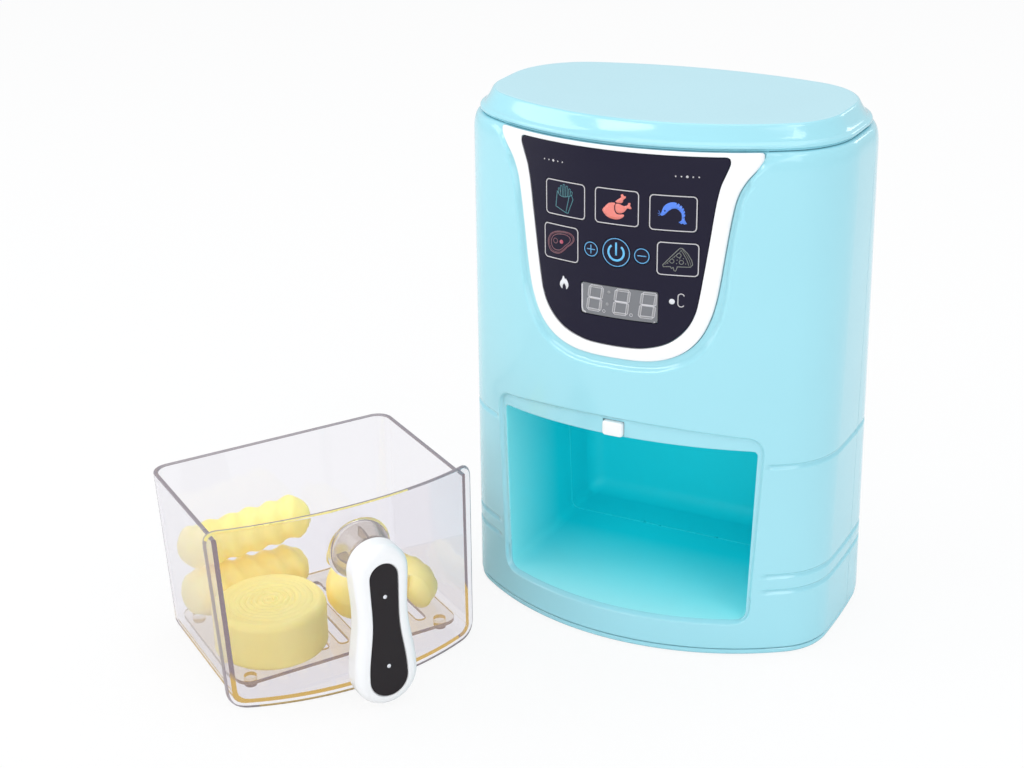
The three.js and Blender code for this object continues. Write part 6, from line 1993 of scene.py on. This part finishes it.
def camera():
    """The photo's view, fitted to the housing's and the drawer's edges."""
    data = bpy.data.cameras.new("camera")
    view = bpy.data.objects.new("camera", data)
    bpy.context.scene.collection.objects.link(view)
    data.sensor_width = 36
    data.lens = 60.2
    picture_width = 1024
    data.shift_x = 14 / picture_width
    data.shift_y = 9 / picture_width
    data.clip_end = 20
    azimuth, elevation, roll = math.radians(28.3), math.radians(23.5), math.radians(-1.47)
    level = math.cos(elevation)
    ahead = Vector((-math.sin(azimuth) * level, math.cos(azimuth) * level, -math.sin(elevation)))
    right = Vector((math.cos(azimuth), math.sin(azimuth), 0))
    up = right.cross(ahead)
    turned_right = right * math.cos(roll) + up * math.sin(roll)
    turned_up = turned_right.cross(ahead)
    turn = Matrix((turned_right, turned_up, -ahead)).transposed().to_4x4()
    view.matrix_world = Matrix.Translation((0.28697, -0.7046, 0.43333)) @ turn
    bpy.context.scene.camera = view


def floor():
    """A pale floor that the camera sees almost as the white behind it."""
    reach, sunk = 6 / MM, -0.3
    corners = [(-reach, -reach, sunk), (reach, -reach, sunk), (reach, reach, sunk), (-reach, reach, sunk)]
    sheet = make_piece("floor", corners, [(0, 1, 2, 3)])
    material, add, feed, shader = new_material("pale_floor")
    feed(shader, Base_Color=(0.9, 0.9, 0.9, 1), Roughness=0.9, Specular_IOR_Level=0.1)
    glow = add("ShaderNodeEmission").outputs[0]
    share = add("ShaderNodeMath", {"operation": "MULTIPLY"}, _0=seen_directly(add), _1=0.88).outputs[0]
    mix = add("ShaderNodeMixShader", _0=share, _1=shader.outputs[0], _2=glow).outputs[0]
    feed(material.node_tree.nodes["Material Output"], Surface=mix)
    sheet.data.materials.append(material)


def seen_directly(add):
    """1 where the camera sees the surface, also through clear plastic."""
    path = add("ShaderNodeLightPath").outputs
    seen, through = path["Is Camera Ray"], path["Is Transmission Ray"]
    return add("ShaderNodeMath", {"operation": "MAXIMUM"}, _0=seen, _1=through).outputs[0]


def softbox(name, place, target, width, height, power):
    """A rectangular lamp that looks at the target, in metres and watts."""
    data = bpy.data.lights.new(name, "AREA")
    data.shape = "RECTANGLE"
    data.size = width
    data.size_y = height
    data.energy = power
    lamp = bpy.data.objects.new(name, data)
    lamp.location = place
    lamp.rotation_euler = (Vector(target) - Vector(place)).to_track_quat("-Z", "Y").to_euler()
    bpy.context.scene.collection.objects.link(lamp)


def studio():
    camera()
    floor()
    world = bpy.data.worlds.new("studio")
    bpy.context.scene.world = world
    world.use_nodes = True
    nodes = world.node_tree.nodes
    add, feed = node_maker(world.node_tree)
    sky = feed(nodes["Background"], Color=(0.95, 0.97, 1.0, 1), Strength=0.75).outputs[0]
    plain = add("ShaderNodeBackground", Color=(1, 1, 1, 1), Strength=1.0).outputs[0]
    mix = add("ShaderNodeMixShader", _0=seen_directly(add), _1=sky, _2=plain).outputs[0]
    feed(nodes["World Output"], Surface=mix)
    softbox("left_softbox", (-1.45, -0.5, 1.3), (0, 0, 0.12), 0.9, 0.9, 5.5)
    softbox("right_softbox", (1.1, -1.0, 1.0), (0, 0, 0.12), 0.5, 0.9, 2.2)
    softbox("top_softbox", (0.0, 0.3, 1.6), (0, 0, 0.1), 1.2, 1.2, 4)
    softbox("front_softbox", (0.4, -1.7, 0.55), (0, 0, 0.08), 1.2, 0.8, 4)
    softbox("low_softbox", (-1.4, -0.9, 0.35), (0, 0, 0.06), 0.8, 0.5, 2)
    softbox("left_window", (-0.74, -1.38, 1.5), (0, 0, 0.24), 0.75, 0.32, 3.5)
    softbox("right_window", (1.05, -0.5, 1.5), (0.07, 0, 0.24), 0.5, 0.42, 2.2)
    softbox("rear_window", (0.68, 1.5, 0.85), (0.08, 0, 0.24), 0.45, 0.3, 1.2)
    bpy.context.scene.view_settings.view_transform = "Standard"


studio()
finish_cad_nodes()
dress_housing()
dress_panel()
dress_drawer()
